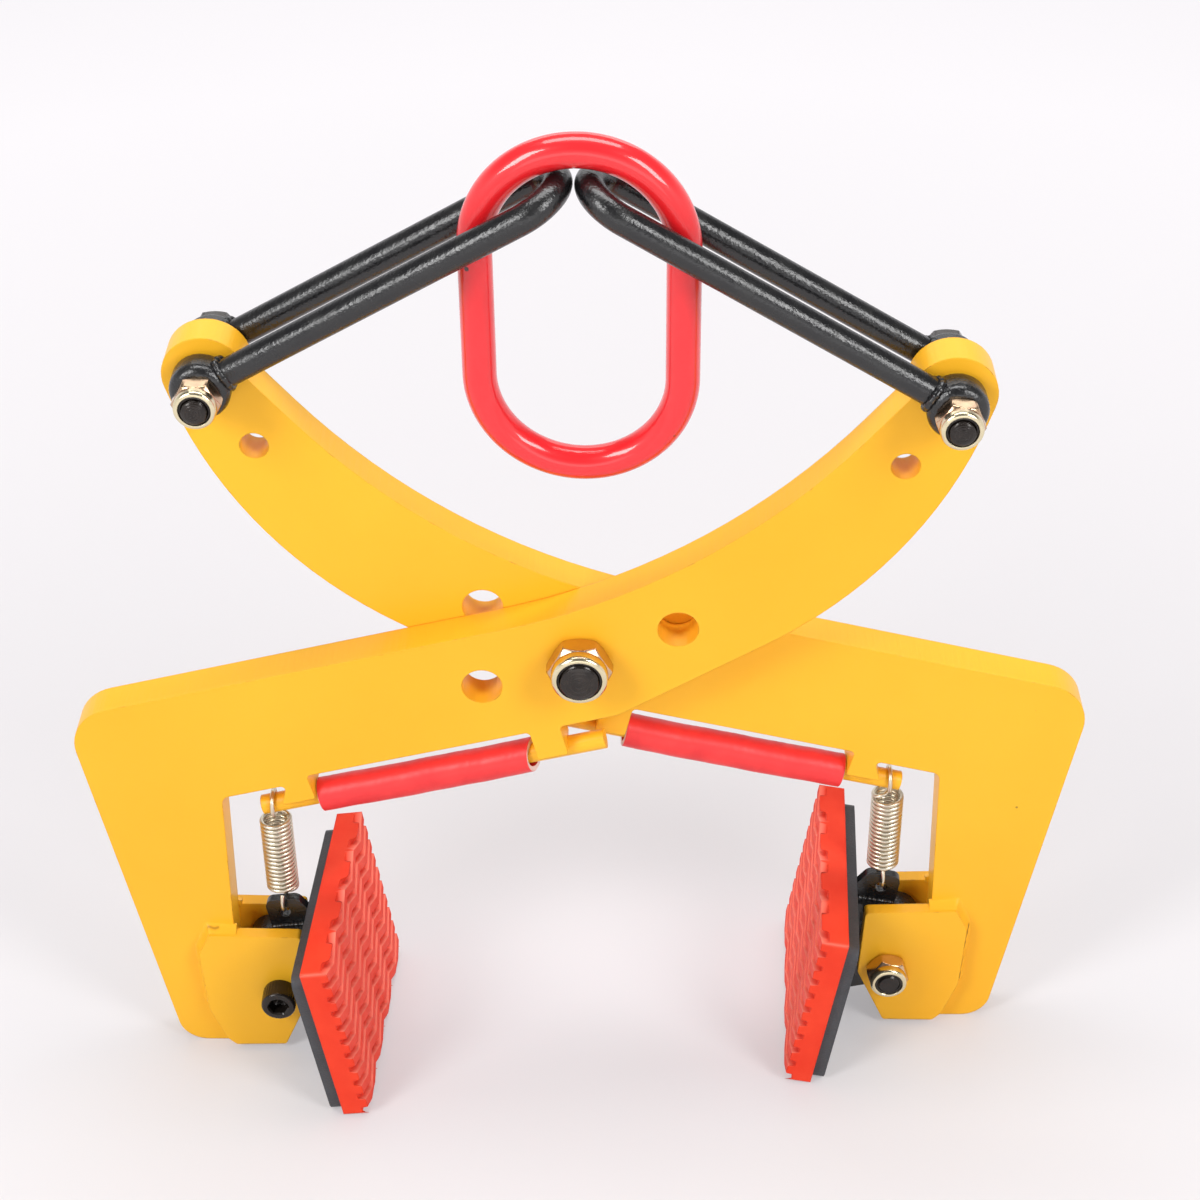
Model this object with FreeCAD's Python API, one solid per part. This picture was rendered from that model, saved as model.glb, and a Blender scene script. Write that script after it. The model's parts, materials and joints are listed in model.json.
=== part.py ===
import FreeCAD, Part
import math
import os

# Lifting tongs. Millimetres, +Z up, X along the jaw, Y through the plates, floor at Z = 0.
# Outlines are written for the front arm, about the pivot; the rear arm is the same turned half round.

# Arms
PLATE_T = 16.0
ARM_GAP = 0.4
ARM_REACH = 213.2
LEG_W = 57.7
FOOT_DROP = 219.0
FOOT_CLEAR = 0.3
BEAM_ANGLE = 13.8
BEAM_TOP = 23.2
BEAM_BOTTOM = -32.5
WINDOW_DROP = 3.0
INNER_BEND_R = 279.0
OUTER_BEND_R = 190.0
NECK_ANGLE = 50.0
NECK_POINT = (123.0, 118.0)
NECK_RUN = 11.0
OUTER_ANGLE = 31.0
OUTER_POINT = (75.0, 7.0)
EYE_SIDE_ANGLE = 73.0
EYE = (145.3, 126.0)
EYE_R = 16.8
SHOULDER_R = 20.0
LEG_LEVEL = -61.0
LEG_LEAN = 0.1696
LEG_INNER_LEAN = 0.025
FOOT_R = 13.0
FOOT_INNER_R = 3.0
HEEL_R = 6.0
WINDOW_R = 4.0
TAB_ROOT_R = 2.0
TAB_TIP_R = 1.0

# Holes in the arms
SPARE_PIVOTS = ((40.5, 15.7), (-41.0, -13.5))
SPARE_PIVOT_D = 17.0
SPARE_EYE = (128.6, 94.2)
SPARE_EYE_D = 11.6

# Bumper rod and hose: inner ends along the beam from the foot of the pivot's normal, outer ends from the leg
ROD_D = 8.6
ROD_DROP = 16.7
ROD_INNER_END = 6.4
ROD_FROM_LEG = 16.6
INNER_TAB = (-22.6, -9.4)
INNER_TAB_GRIP = 2.8
OUTER_TAB_FROM_LEG = 32.8
OUTER_TAB_W = 9.8
OUTER_TAB_GRIP = 0.6
OUTER_TAB_FLARE = 5.5
HOSE_OD = 15.0
HOSE_BORE = 10.6
HOSE_END_GAP = 0.5

# Fasteners: diameter, across flats, hex height, collar height, head height
M16 = (16.0, 24.0, 10.0, 4.6, 10.0)
M10 = (10.0, 17.0, 8.0, 3.6, 6.4)
HEX_FACE_OVER_FLATS = 0.93
HEX_CROWN_ANGLE = 42.0
COLLAR_OVER_FLATS = 0.98
COLLAR_LIP_OVER_HEIGHT = 0.45
BOLT_STICKOUT = 2.7
RUN_FIT = 0.05
SEAT_FIT = 0.05
FACE_GAP = 0.3
CAP_HEAD_D = 15.4
CAP_HEAD_H = 10.0
CAP_EDGE = 1.2
CAP_SOCKET_AF = 8.0
CAP_SOCKET_DEPTH = 5.5

# Links and ring
LINK_ROD_D = 11.5
LINK_ANGLE = 30.4
LINK_EYE_D = 24.0
LINK_EYE_T = 15.0
LINK_EYE_EDGE_R = 1.5
LINK_COPE = 4.0
LINK_BEND_R = 15.5
LINK_BEND_OFFSET = 7.5
LINK_TOUCH_GAP = 0.5
RING_WIRE_D = 13.5
RING_INNER_W = 65.7
RING_INNER_H = 120.8
RING_SHIFT = (1.8, -1.5)
RING_YAW = -3.2
RING_REST_GAP = 0.4

# Cheeks and pads about their swivel bolt, pads with P toward the jaw and Q up the pad
SWIVEL_FROM_LEG = 17.0
SWIVEL_FROM_FOOT = 35.8
CHEEK_T = 6.0
CHEEK = ((11.5, 33.2, 2.0), (13.2, -2.8, 2.0), (0.0, -33.0, 2.0), (-23.0, -33.4, 2.0),
         (-27.0, -29.3, 0.0), (-33.5, -10.8, 0.0), (-35.0, 23.2, 0.0), (-29.5, 34.2, 0.0))
PAD_TILT = 9.0
PAD_YAW = -3.0
PAD_W = 108.0
PAD_H = 85.5
RUBBER_BACK_P = 27.2
RUBBER_BASE_T = 8.8
RIB_HEIGHT = 3.2
RIB_COUNT = 10
RIB_W = 5.4
RIB_PERIOD = 24.0
RIB_SWING = 5.0
BACKING_T = 5.8
BACKING_SHORT_TOP = 5.0
BACKING_SHORT_END = 2.0
BACKING_CORNER_R = 5.0
LUG_T = 13.0
LUG_TOP_Q = 29.0
LUG_BOTTOM_Q = -19.0
LUG_BACK_P = -11.5
LUG_TOP_R = 11.0
LUG_HEEL = (4.0, -13.0)
LUG_HEEL_R = 10.0
LUG_BOTTOM_R = 6.0
LUG_TOE_Q = -27.0
TAB_T = 4.0
TAB_TOP_Q = 44.5
TAB_BACK_P = 1.8
TAB_CORNER_R = 4.0
TAB_FRONT_P = 17.0
TAB_FRONT_DROP = 8.0
TAB_HOLE = (9.7, 37.2)
TAB_HOLE_D = 5.4

# Springs
SPRING_WIRE = 1.9
SPRING_OD = 15.0
SPRING_TURNS = 16
SPRING_LOOP_R = 6.0
SPRING_LOOP_TURN = 315.0
HOOK_GAP = 0.45


def vec(x, y, z):
    return FreeCAD.Vector(x, y, z)


SLOPE = math.tan(math.radians(BEAM_ANGLE))
ALONG = vec(math.cos(math.radians(BEAM_ANGLE)), 0.0, math.sin(math.radians(BEAM_ANGLE)))
DOWN = vec(ALONG.z, 0.0, -ALONG.x)
FRONT_MID = -(ARM_GAP + PLATE_T) / 2.0
FRONT_FACE = FRONT_MID - PLATE_T / 2.0
FRONT_BACK = FRONT_MID + PLATE_T / 2.0
TURN = (vec(0, 0, 0), vec(0, 0, 1), 180.0)
PIVOT_Z = FOOT_DROP + FOOT_CLEAR
LEG_POINT = (-ARM_REACH, LEG_LEVEL)
LEG_INNER_X = LEG_W - ARM_REACH
SWIVEL = (LEG_INNER_X + SWIVEL_FROM_LEG, SWIVEL_FROM_FOOT - FOOT_DROP)
LEG_RUN = (LEG_INNER_X - ROD_DROP * DOWN.x) / ALONG.x
ROD_SPAN = (LEG_RUN + ROD_FROM_LEG, ROD_INNER_END)
OUTER_TAB = (LEG_RUN + OUTER_TAB_FROM_LEG, LEG_RUN + OUTER_TAB_FROM_LEG + OUTER_TAB_W)


def turned(shape):
    """The same piece on the rear arm: half a turn about Z."""
    other = shape.copy()
    other.rotate(*TURN)
    return other


def wire_of(corners, y):
    """Closed wire of lines and tangent arcs at depth y, from (x, z, corner radius) triples."""
    points = [vec(x, y, z) for x, z, _ in corners]
    enters, leaves, crowns = [], [], []
    for i, point in enumerate(points):
        radius = corners[i][2]
        before = (points[i - 1] - point).normalize()
        after = (points[(i + 1) % len(points)] - point).normalize()
        if radius <= 0.0:
            enters.append(point)
            leaves.append(point)
            crowns.append(None)
            continue
        half = before.getAngle(after) / 2.0
        reach = radius / math.tan(half)
        middle = (before + after).normalize()
        enters.append(point + before * reach)
        leaves.append(point + after * reach)
        crowns.append(point + middle * (radius / math.sin(half) - radius))
    edges = []
    for i in range(len(points)):
        if crowns[i] is not None:
            edges.append(Part.Arc(enters[i], crowns[i], leaves[i]).toShape())
        following = enters[(i + 1) % len(points)]
        if leaves[i].distanceToPoint(following) > 1e-6:
            edges.append(Part.makeLine(leaves[i], following))
    return Part.Wire(edges)


def slab(corners, y0, thickness):
    """Flat plate of a rounded outline, from depth y0."""
    return Part.Face(wire_of(corners, y0)).extrude(vec(0, thickness, 0))


def bar_y(x, z, radius, y0, y1):
    """Round bar along Y."""
    return Part.makeCylinder(radius, y1 - y0, vec(x, y0, z), vec(0, 1, 0))


def hex_y(x, z, across, y0, height):
    """Hexagon along Y with a flat on top; both ends are crowned by a cone."""
    corner = across / math.sqrt(3.0)
    rim = [vec(x + corner * math.cos(math.radians(60 * i)), y0, z + corner * math.sin(math.radians(60 * i)))
           for i in range(7)]
    prism = Part.Face(Part.makePolygon(rim)).extrude(vec(0, height, 0))
    face = across * HEX_FACE_OVER_FLATS / 2.0
    drop = (corner - face) * math.tan(math.radians(HEX_CROWN_ANGLE))
    side = [vec(0, y0, 0), vec(face, y0, 0), vec(corner, y0 + drop, 0), vec(corner, y0 + height - drop, 0),
            vec(face, y0 + height, 0), vec(0, y0 + height, 0), vec(0, y0, 0)]
    crown = Part.Face(Part.makePolygon(side)).revolve(vec(0, 0, 0), vec(0, 1, 0), 360)
    crown.translate(vec(x, 0, z))
    return prism.common(crown)


def nut_front(x, z, size, seat_y):
    """Self-locking nut whose seat faces +Y at seat_y: hexagon, then a rounded collar, bored for its bolt."""
    bolt_d, across, hex_h, collar_h, _ = size
    r = across * COLLAR_OVER_FLATS / 2.0
    lip = collar_h * COLLAR_LIP_OVER_HEIGHT
    y1 = seat_y - hex_h
    y2 = y1 - collar_h
    profile = Part.Wire([
        Part.makeLine(vec(0, y1 + 1.0, 0), vec(r, y1 + 1.0, 0)),
        Part.makeLine(vec(r, y1 + 1.0, 0), vec(r, y2 + lip, 0)),
        Part.Arc(vec(r, y2 + lip, 0), vec(r - lip * 0.293, y2 + lip * 0.293, 0),
                 vec(r - lip, y2, 0)).toShape(),
        Part.makeLine(vec(r - lip, y2, 0), vec(0, y2, 0)),
        Part.makeLine(vec(0, y2, 0), vec(0, y1 + 1.0, 0))])
    collar = Part.Face(profile).revolve(vec(0, 0, 0), vec(0, 1, 0), 360)
    collar.translate(vec(x, 0, z))
    body = hex_y(x, z, across, y1, hex_h).fuse(collar)
    return body.cut(bar_y(x, z, bolt_d / 2.0 + SEAT_FIT, y2 - 1.0, seat_y + 1.0)).removeSplitter()


def shank(x, z, radius, y0, y1):
    """Bolt shank along Y with a chamfered tip at its front end y0."""
    tip = radius * 0.16
    side = [vec(0, y0, 0), vec(radius - tip, y0, 0), vec(radius, y0 + tip, 0),
            vec(radius, y1, 0), vec(0, y1, 0), vec(0, y0, 0)]
    body = Part.Face(Part.makePolygon(side)).revolve(vec(0, 0, 0), vec(0, 1, 0), 360)
    body.translate(vec(x, 0, z))
    return body


def hex_bolt(x, z, size, head_seat_y, tip_y):
    """Bolt with its hexagon head behind head_seat_y and its tip in front."""
    return shank(x, z, size[0] / 2.0, tip_y, head_seat_y).fuse(hex_y(x, z, size[1], head_seat_y, size[4]))


def meet(p, angle_p, q, angle_q):
    """Crossing of two lines, each a point and an angle in degrees."""
    a, b = math.radians(angle_p), math.radians(angle_q)
    k = ((q[0] - p[0]) * math.sin(b) - (q[1] - p[1]) * math.cos(b)) / math.sin(b - a)
    return p[0] + k * math.cos(a), p[1] + k * math.sin(a)


def beam_point(run, drop):
    """Point a distance along the beam's lower edge and a drop square to it, about the pivot."""
    return run * ALONG.x + drop * DOWN.x, BEAM_BOTTOM + run * ALONG.z + drop * DOWN.z


def arm():
    """Front arm: beam, leg, neck, eye and tabs as one flame-cut plate."""
    inner = meet((0.0, BEAM_TOP), BEAM_ANGLE, NECK_POINT, NECK_ANGLE)
    side = math.radians(EYE_SIDE_ANGLE)
    eye_side = (EYE[0] + EYE_R * math.sin(side), EYE[1] - EYE_R * math.cos(side))
    outer = meet(OUTER_POINT, OUTER_ANGLE, eye_side, EYE_SIDE_ANGLE)
    heel = meet(OUTER_POINT, OUTER_ANGLE, (0.0, BEAM_BOTTOM), BEAM_ANGLE)
    lean = math.degrees(math.atan2(1.0, -LEG_LEAN))
    shoulder = meet(LEG_POINT, lean, (0.0, BEAM_TOP), BEAM_ANGLE)
    toe = meet(LEG_POINT, lean, (0.0, -FOOT_DROP), 0.0)
    neck = (NECK_POINT[0] + NECK_RUN, NECK_POINT[1] + NECK_RUN * math.tan(math.radians(NECK_ANGLE)))
    window = (0.0, BEAM_BOTTOM - WINDOW_DROP / ALONG.x)
    window_corner = (LEG_INNER_X, window[1] + LEG_INNER_X * SLOPE)
    foot_inner = LEG_INNER_X - LEG_INNER_LEAN * (FOOT_DROP + window_corner[1])
    corners = [(foot_inner, -FOOT_DROP, FOOT_INNER_R), (*toe, FOOT_R), (*shoulder, SHOULDER_R),
               (*inner, INNER_BEND_R), (*neck, 0.0), (*eye_side, 0.0), (*outer, OUTER_BEND_R),
               (*heel, HEEL_R)]
    for tab, grip, flare, root in ((INNER_TAB, INNER_TAB_GRIP, 0.0, 0.0),
                                   (OUTER_TAB, OUTER_TAB_GRIP, OUTER_TAB_FLARE, WINDOW_DROP)):
        low = ROD_DROP - ROD_D / 2.0 + grip
        corners += [(*beam_point(tab[1], 0.0), TAB_ROOT_R), (*beam_point(tab[1], low), TAB_TIP_R),
                    (*beam_point(tab[0] - flare, low), TAB_TIP_R), (*beam_point(tab[0], root), TAB_ROOT_R)]
    corners.append((*window_corner, WINDOW_R))
    plate = slab([(x, PIVOT_Z + z, r) for x, z, r in corners], FRONT_FACE, PLATE_T)
    plate = plate.fuse(bar_y(EYE[0], PIVOT_Z + EYE[1], EYE_R, FRONT_FACE, FRONT_BACK)).removeSplitter()
    bores = [(0.0, 0.0, M16[0] / 2.0 + RUN_FIT), (*EYE, M10[0] / 2.0 + SEAT_FIT),
             (*SPARE_EYE, SPARE_EYE_D / 2.0)]
    bores += [(x, z, SPARE_PIVOT_D / 2.0) for x, z in SPARE_PIVOTS]
    for x, z, radius in bores:
        plate = plate.cut(bar_y(x, PIVOT_Z + z, radius, FRONT_FACE - 1, FRONT_BACK + 1))
    return plate.cut(rod(ROD_D / 2.0 + SEAT_FIT / 2.0))


def rod_place(run, drop=ROD_DROP):
    x, z = beam_point(run, drop)
    return vec(x, FRONT_MID, PIVOT_Z + z)


def rod(radius):
    """Bumper rod under the tabs."""
    return Part.makeCylinder(radius, ROD_SPAN[1] - ROD_SPAN[0], rod_place(ROD_SPAN[0]), ALONG)


def hose():
    """Loose hose hanging on the rod between the two tabs."""
    start, end = OUTER_TAB[1] + HOSE_END_GAP, INNER_TAB[0] - HOSE_END_GAP
    sag = (HOSE_BORE - ROD_D) / 2.0 - SEAT_FIT
    foot = rod_place(start, ROD_DROP + sag)
    tube = Part.makeCylinder(HOSE_OD / 2.0, end - start, foot, ALONG)
    return tube.cut(Part.makeCylinder(HOSE_BORE / 2.0, end - start + 2, foot - ALONG, ALONG))


def cheek(y0):
    """Cheek plate welded to a face of the foot."""
    x0, z0 = SWIVEL[0], PIVOT_Z + SWIVEL[1]
    plate = slab([(x0 + x, z0 + z, r) for x, z, r in CHEEK], y0, CHEEK_T)
    return plate.cut(bar_y(x0, z0, M10[0] / 2.0 + SEAT_FIT, y0 - 1, y0 + CHEEK_T + 1))


def cap_screw():
    """Socket head cap screw through the cheeks, its head in front."""
    x, z = SWIVEL[0], PIVOT_Z + SWIVEL[1]
    seat = FRONT_FACE - CHEEK_T
    end = FRONT_BACK + CHEEK_T + M10[2] + M10[3] + BOLT_STICKOUT
    rim, top = CAP_HEAD_D / 2, seat - CAP_HEAD_H
    side = [vec(0, seat, 0), vec(rim, seat, 0), vec(rim, top + CAP_EDGE, 0), vec(rim - CAP_EDGE, top, 0),
            vec(0, top, 0), vec(0, seat, 0)]
    head = Part.Face(Part.makePolygon(side)).revolve(vec(0, 0, 0), vec(0, 1, 0), 360)
    head.translate(vec(x, 0, z))
    socket = hex_y(x, z, CAP_SOCKET_AF, top - 1.0, CAP_SOCKET_DEPTH + 1.0)
    return head.cut(socket).fuse(bar_y(x, z, M10[0] / 2.0, seat, end))


def cap_nut():
    """Self-locking nut behind the rear cheek, the front form turned to face the other way."""
    nut = nut_front(0.0, 0.0, M10, 0.0)
    nut.rotate(*TURN)
    nut.translate(vec(SWIVEL[0], FRONT_BACK + CHEEK_T, PIVOT_Z + SWIVEL[1]))
    return nut


BACKING_BACK_P = RUBBER_BACK_P - BACKING_T
TILT = math.radians(PAD_TILT)
PAD_BOTTOM_Q = (-(PIVOT_Z + SWIVEL[1]) - BACKING_BACK_P * math.sin(TILT)) / math.cos(TILT)
PAD_TOP_Q = PAD_BOTTOM_Q + PAD_H


def on_pad(shape, bore=None):
    """Pad pieces are drawn upright about the bolt, tilted, turned by the play in the lug and carried to it.

    bore is (p, q, radius) of a hole along Y, cut last so that it stays square to the cheeks.
    """
    shape.rotate(vec(0, 0, 0), vec(0, 1, 0), -PAD_TILT)
    shape.rotate(vec(0, 0, 0), vec(0, 0, 1), PAD_YAW)
    if bore is not None:
        p, q, radius = bore
        x, z = p * math.cos(TILT) - q * math.sin(TILT), p * math.sin(TILT) + q * math.cos(TILT)
        shape = shape.cut(bar_y(x, z, radius, -PLATE_T, PLATE_T))
    shape.translate(vec(SWIVEL[0], FRONT_MID, PIVOT_Z + SWIVEL[1]))
    return shape


def pad_rubber():
    """Rubber facing: a block with zigzag ribs across its face, cut off at the block's edges."""
    block = Part.makeBox(RUBBER_BASE_T, PAD_W, PAD_H, vec(RUBBER_BACK_P, -PAD_W / 2, PAD_BOTTOM_Q))
    front = RUBBER_BACK_P + RUBBER_BASE_T
    limit = Part.makeBox(RIB_HEIGHT + 1.0, PAD_W, PAD_H, vec(front - 1.0, -PAD_W / 2, PAD_BOTTOM_Q))
    steps = int(round(2 * PAD_W / RIB_PERIOD))
    pitch = PAD_H / RIB_COUNT
    ribs = []
    for i in range(RIB_COUNT + 1):
        middle = PAD_BOTTOM_Q + pitch * i
        track = [(-PAD_W / 2 + RIB_PERIOD / 2 * k, middle + RIB_SWING * (0.5 - k % 2))
                 for k in range(steps + 1)]
        upper = [vec(front - 0.5, y, q + RIB_W / 2) for y, q in track]
        lower = [vec(front - 0.5, y, q - RIB_W / 2) for y, q in reversed(track)]
        face = Part.Face(Part.makePolygon(upper + lower + [upper[0]]))
        ribs.append(face.extrude(vec(RIB_HEIGHT + 0.5, 0, 0)).common(limit))
    return on_pad(block.fuse(ribs).removeSplitter())


def pad_backing():
    """Steel backing plate behind the rubber, its corners rounded."""
    low, high = PAD_BOTTOM_Q, PAD_TOP_Q - BACKING_SHORT_TOP
    half = PAD_W / 2 - BACKING_SHORT_END
    plate = Part.makeBox(BACKING_T, 2 * half, high - low, vec(BACKING_BACK_P, -half, low))
    corners = [e for e in plate.Edges if abs(e.Vertexes[0].X - e.Vertexes[1].X) > 1.0]
    return on_pad(plate.makeFillet(BACKING_CORNER_R, corners))


def pad_lug():
    """Lug between the cheeks, welded to the backing plate and bored for the swivel bolt."""
    corners = [(LUG_BACK_P, LUG_TOP_Q, LUG_TOP_R), (LUG_BACK_P, LUG_HEEL[1], LUG_HEEL_R),
               (LUG_HEEL[0], LUG_BOTTOM_Q, LUG_BOTTOM_R), (BACKING_BACK_P, LUG_TOE_Q, 0.0),
               (BACKING_BACK_P, LUG_TOP_Q, 0.0)]
    return on_pad(slab(corners, -LUG_T / 2, LUG_T), (0.0, 0.0, M10[0] / 2.0 + RUN_FIT))


def spring_tab():
    """Thin upright tab on the lug, with the hole for the spring's lower hook."""
    corners = [(TAB_BACK_P, LUG_TOP_Q, 0.0), (BACKING_BACK_P, LUG_TOP_Q, 0.0),
               (BACKING_BACK_P, TAB_TOP_Q - TAB_FRONT_DROP, 0.0), (TAB_FRONT_P, TAB_TOP_Q, TAB_CORNER_R),
               (TAB_BACK_P, TAB_TOP_Q, TAB_CORNER_R)]
    return on_pad(slab(corners, -TAB_T / 2, TAB_T), (*TAB_HOLE, TAB_HOLE_D / 2))


def crown_of(start, tangent, end):
    """Middle point of the arc that leaves start along tangent and reaches end, or None for a straight run."""
    chord = end - start
    along = vec(chord.x, chord.y, chord.z).normalize()
    angle = tangent.getAngle(along)
    if angle < 1e-7:
        return None
    side = (tangent - along * tangent.dot(along)).normalize()
    return start + chord * 0.5 + side * (chord.Length / 2.0 * math.tan(angle / 2.0))


def arc_or_line(start, crown, end):
    return Part.makeLine(start, end) if crown is None else Part.Arc(start, crown, end).toShape()


def biarc(p0, t0, p1, t1):
    """Two tangent arcs from one point and direction to the next."""
    v = p1 - p0
    spread = 2.0 * (1.0 - t0.dot(t1))
    b = v.dot(t0 + t1)
    if spread < 1e-9:
        reach = v.dot(v) / (4.0 * v.dot(t1))
    else:
        reach = (-b + math.sqrt(b * b + spread * v.dot(v))) / spread
    joint = (p0 + p1 + (t0 - t1) * reach) * 0.5
    first = arc_or_line(p0, crown_of(p0, t0, joint), joint)
    second = arc_or_line(joint, crown_of(p1, t1 * -1.0, joint), p1)
    return [first, second]


def spring_stations(x_axis, z_low, z_high):
    """Points and directions down the wire: lower hook, half turn out, the coils, half turn in, upper hook."""
    mean = (SPRING_OD - SPRING_WIRE) / 2.0
    low, high = z_low + 2 * SPRING_LOOP_R, z_high - 2 * SPRING_LOOP_R
    pitch = (high - low) / SPRING_TURNS
    stations = []

    def add(x, y, z, tx, ty, tz):
        direction = vec(tx, ty, tz).normalize()
        stations.append((vec(x_axis + x, FRONT_MID + y, z), direction))

    loop_steps = int(SPRING_LOOP_TURN / 45)
    for k in range(loop_steps, 0, -1):
        a = math.radians(45 * k)
        sine, cosine = math.sin(a), math.cos(a)
        add(0, SPRING_LOOP_R * sine, low - SPRING_LOOP_R * (1 - cosine), 0, -cosine, sine)
    for k in (0, 1):
        a = math.radians(90 * k)
        add(mean / 2 * (1 - math.cos(a)), -mean / 2 * math.sin(a), low, math.sin(a), -math.cos(a), 0)
    quarters = 4 * SPRING_TURNS
    rise = pitch / (2 * math.pi * mean)
    for k in range(quarters + 1):
        a = math.radians(90 * k)
        lift = 0.0 if k in (0, quarters) else rise
        add(mean * math.cos(a), mean * math.sin(a), low + pitch * k / 4.0, -math.sin(a), math.cos(a), lift)
    for k in (1, 2):
        a = math.radians(90 * k)
        add(mean / 2 * (1 + math.cos(a)), mean / 2 * math.sin(a), high, -math.sin(a), math.cos(a), 0)
    for k in range(1, loop_steps + 1):
        a = math.radians(45 * k)
        sine, cosine = math.sin(a), math.cos(a)
        add(0, -SPRING_LOOP_R * sine, high + SPRING_LOOP_R * (1 - cosine), 0, -cosine, sine)
    return stations


def least_gap(edges):
    """Least distance of the wire to itself, measured on points along it."""
    points = []
    for edge in edges:
        points += edge.discretize(7)[:-1]
    step = sum(e.Length for e in edges) / len(points)
    skip = int(3.0 * SPRING_WIRE / step) + 1
    reach = int(8.0 * SPRING_OD / step)
    best = min(points[i].distanceToPoint(points[j]) for i in range(len(points))
               for j in range(i + skip, min(len(points), i + reach)))
    return best - SPRING_WIRE


def spring():
    """Extension spring hooked over the rod and into the tab, one unbroken wire."""
    hole = math.cos(TILT) * TAB_HOLE[0] - math.sin(TILT) * TAB_HOLE[1] + SWIVEL[0]
    hole_z = math.sin(TILT) * TAB_HOLE[0] + math.cos(TILT) * TAB_HOLE[1] + PIVOT_Z + SWIVEL[1]
    run = (hole - ROD_DROP * DOWN.x) / ALONG.x
    z_low = hole_z + TAB_HOLE_D / 2 - SPRING_WIRE / 2 - HOOK_GAP
    z_high = rod_place(run).z + ROD_D / 2 / ALONG.x + SPRING_WIRE / 2 + HOOK_GAP
    stations = spring_stations(hole, z_low, z_high)
    edges = []
    for (p0, t0), (p1, t1) in zip(stations, stations[1:]):
        edges += biarc(p0, t0, p1, t1)
    print("spring axis", round(hole, 2), "hooks", round(z_low, 2), round(z_high, 2),
          "least gap of the wire to itself", round(least_gap(edges), 3))
    start, direction = stations[0]
    section = Part.Wire([Part.makeCircle(SPRING_WIRE / 2, start, direction)])
    shell = Part.BRepOffsetAPI.MakePipeShell(Part.Wire(edges))
    shell.add(section, False, False)
    shell.build()
    shell.makeSolid()
    coil = shell.shape()
    expected = math.pi * SPRING_WIRE ** 2 / 4 * sum(e.Length for e in edges)
    print("spring volume over section times length", round(coil.Volume / expected, 4))
    return coil


LINK_LEG_Y = PLATE_T / 2 + FACE_GAP + LINK_EYE_T / 2
LINK_COS = math.cos(math.radians(LINK_ANGLE))
LINK_DIR = vec(-LINK_COS, 0, math.sin(math.radians(LINK_ANGLE)))
EYE_CENTRE = vec(EYE[0], FRONT_MID, PIVOT_Z + EYE[1])
BEND_Y = FRONT_MID + LINK_BEND_OFFSET


def bend_reach():
    """Least x of a U-bend's crown at which the two bends, twins about Z, clear one another."""
    apart = (LINK_ROD_D + LINK_TOUCH_GAP) / 2
    samples = [apart * (i / 60.0 - 1.0) for i in range(61)]
    return max(math.sqrt(apart ** 2 - y ** 2)
               - (LINK_BEND_R - math.sqrt(LINK_BEND_R ** 2 - (y - BEND_Y) ** 2)) * LINK_COS for y in samples)


APEX_X = bend_reach()
LINK_LENGTH = (EYE[0] - APEX_X) / LINK_COS


def link_eye(sign):
    """Welded eye on one side of the arm."""
    middle = FRONT_MID + sign * LINK_LEG_Y
    y0, y1 = middle - LINK_EYE_T / 2, middle + LINK_EYE_T / 2
    x, z = EYE_CENTRE.x, EYE_CENTRE.z
    ring = bar_y(x, z, LINK_EYE_D / 2, y0, y1)
    rims = [e for e in ring.Edges if e.Curve.TypeId == "Part::GeomCircle"]
    ring = ring.makeFillet(LINK_EYE_EDGE_R, rims)
    return ring.cut(bar_y(x, z, M10[0] / 2.0 + RUN_FIT, y0 - 1, y1 + 1))


def link():
    """U-bent rod from eye to eye, its bend swung toward the middle; both ends are coped to the eyes."""
    centre = LINK_LENGTH - LINK_BEND_R

    def at(along, side):
        return EYE_CENTRE + LINK_DIR * along + vec(0, side, 0)

    def leg(sign):
        """Start of a leg at its eye and the point where it meets the bend, a tangent to the bend's circle."""
        drop = sign * LINK_BEND_OFFSET - LINK_LEG_Y
        lean = math.atan2(drop, centre) + math.asin(LINK_BEND_R / math.hypot(centre, drop))
        root = at(LINK_COPE, sign * (LINK_LEG_Y + LINK_COPE * math.tan(lean)))
        return root, at(centre - LINK_BEND_R * math.sin(lean),
                        LINK_BEND_OFFSET + sign * LINK_BEND_R * math.cos(lean))

    (root_a, tangent_a), (root_b, tangent_b) = leg(-1), leg(1)
    crown = at(LINK_LENGTH, LINK_BEND_OFFSET)
    path = Part.Wire([Part.makeLine(root_a, tangent_a), Part.Arc(tangent_a, crown, tangent_b).toShape(),
                      Part.makeLine(tangent_b, root_b)])
    section = Part.Wire([Part.makeCircle(LINK_ROD_D / 2, root_a, tangent_a - root_a)])
    bent = path.makePipeShell([section], True, False)
    reach = LINK_LEG_Y + LINK_EYE_T
    cope = bar_y(EYE_CENTRE.x, EYE_CENTRE.z, LINK_EYE_D / 2 + SEAT_FIT / 2,
                 FRONT_MID - reach, FRONT_MID + reach)
    return bent.cut(cope)


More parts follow.
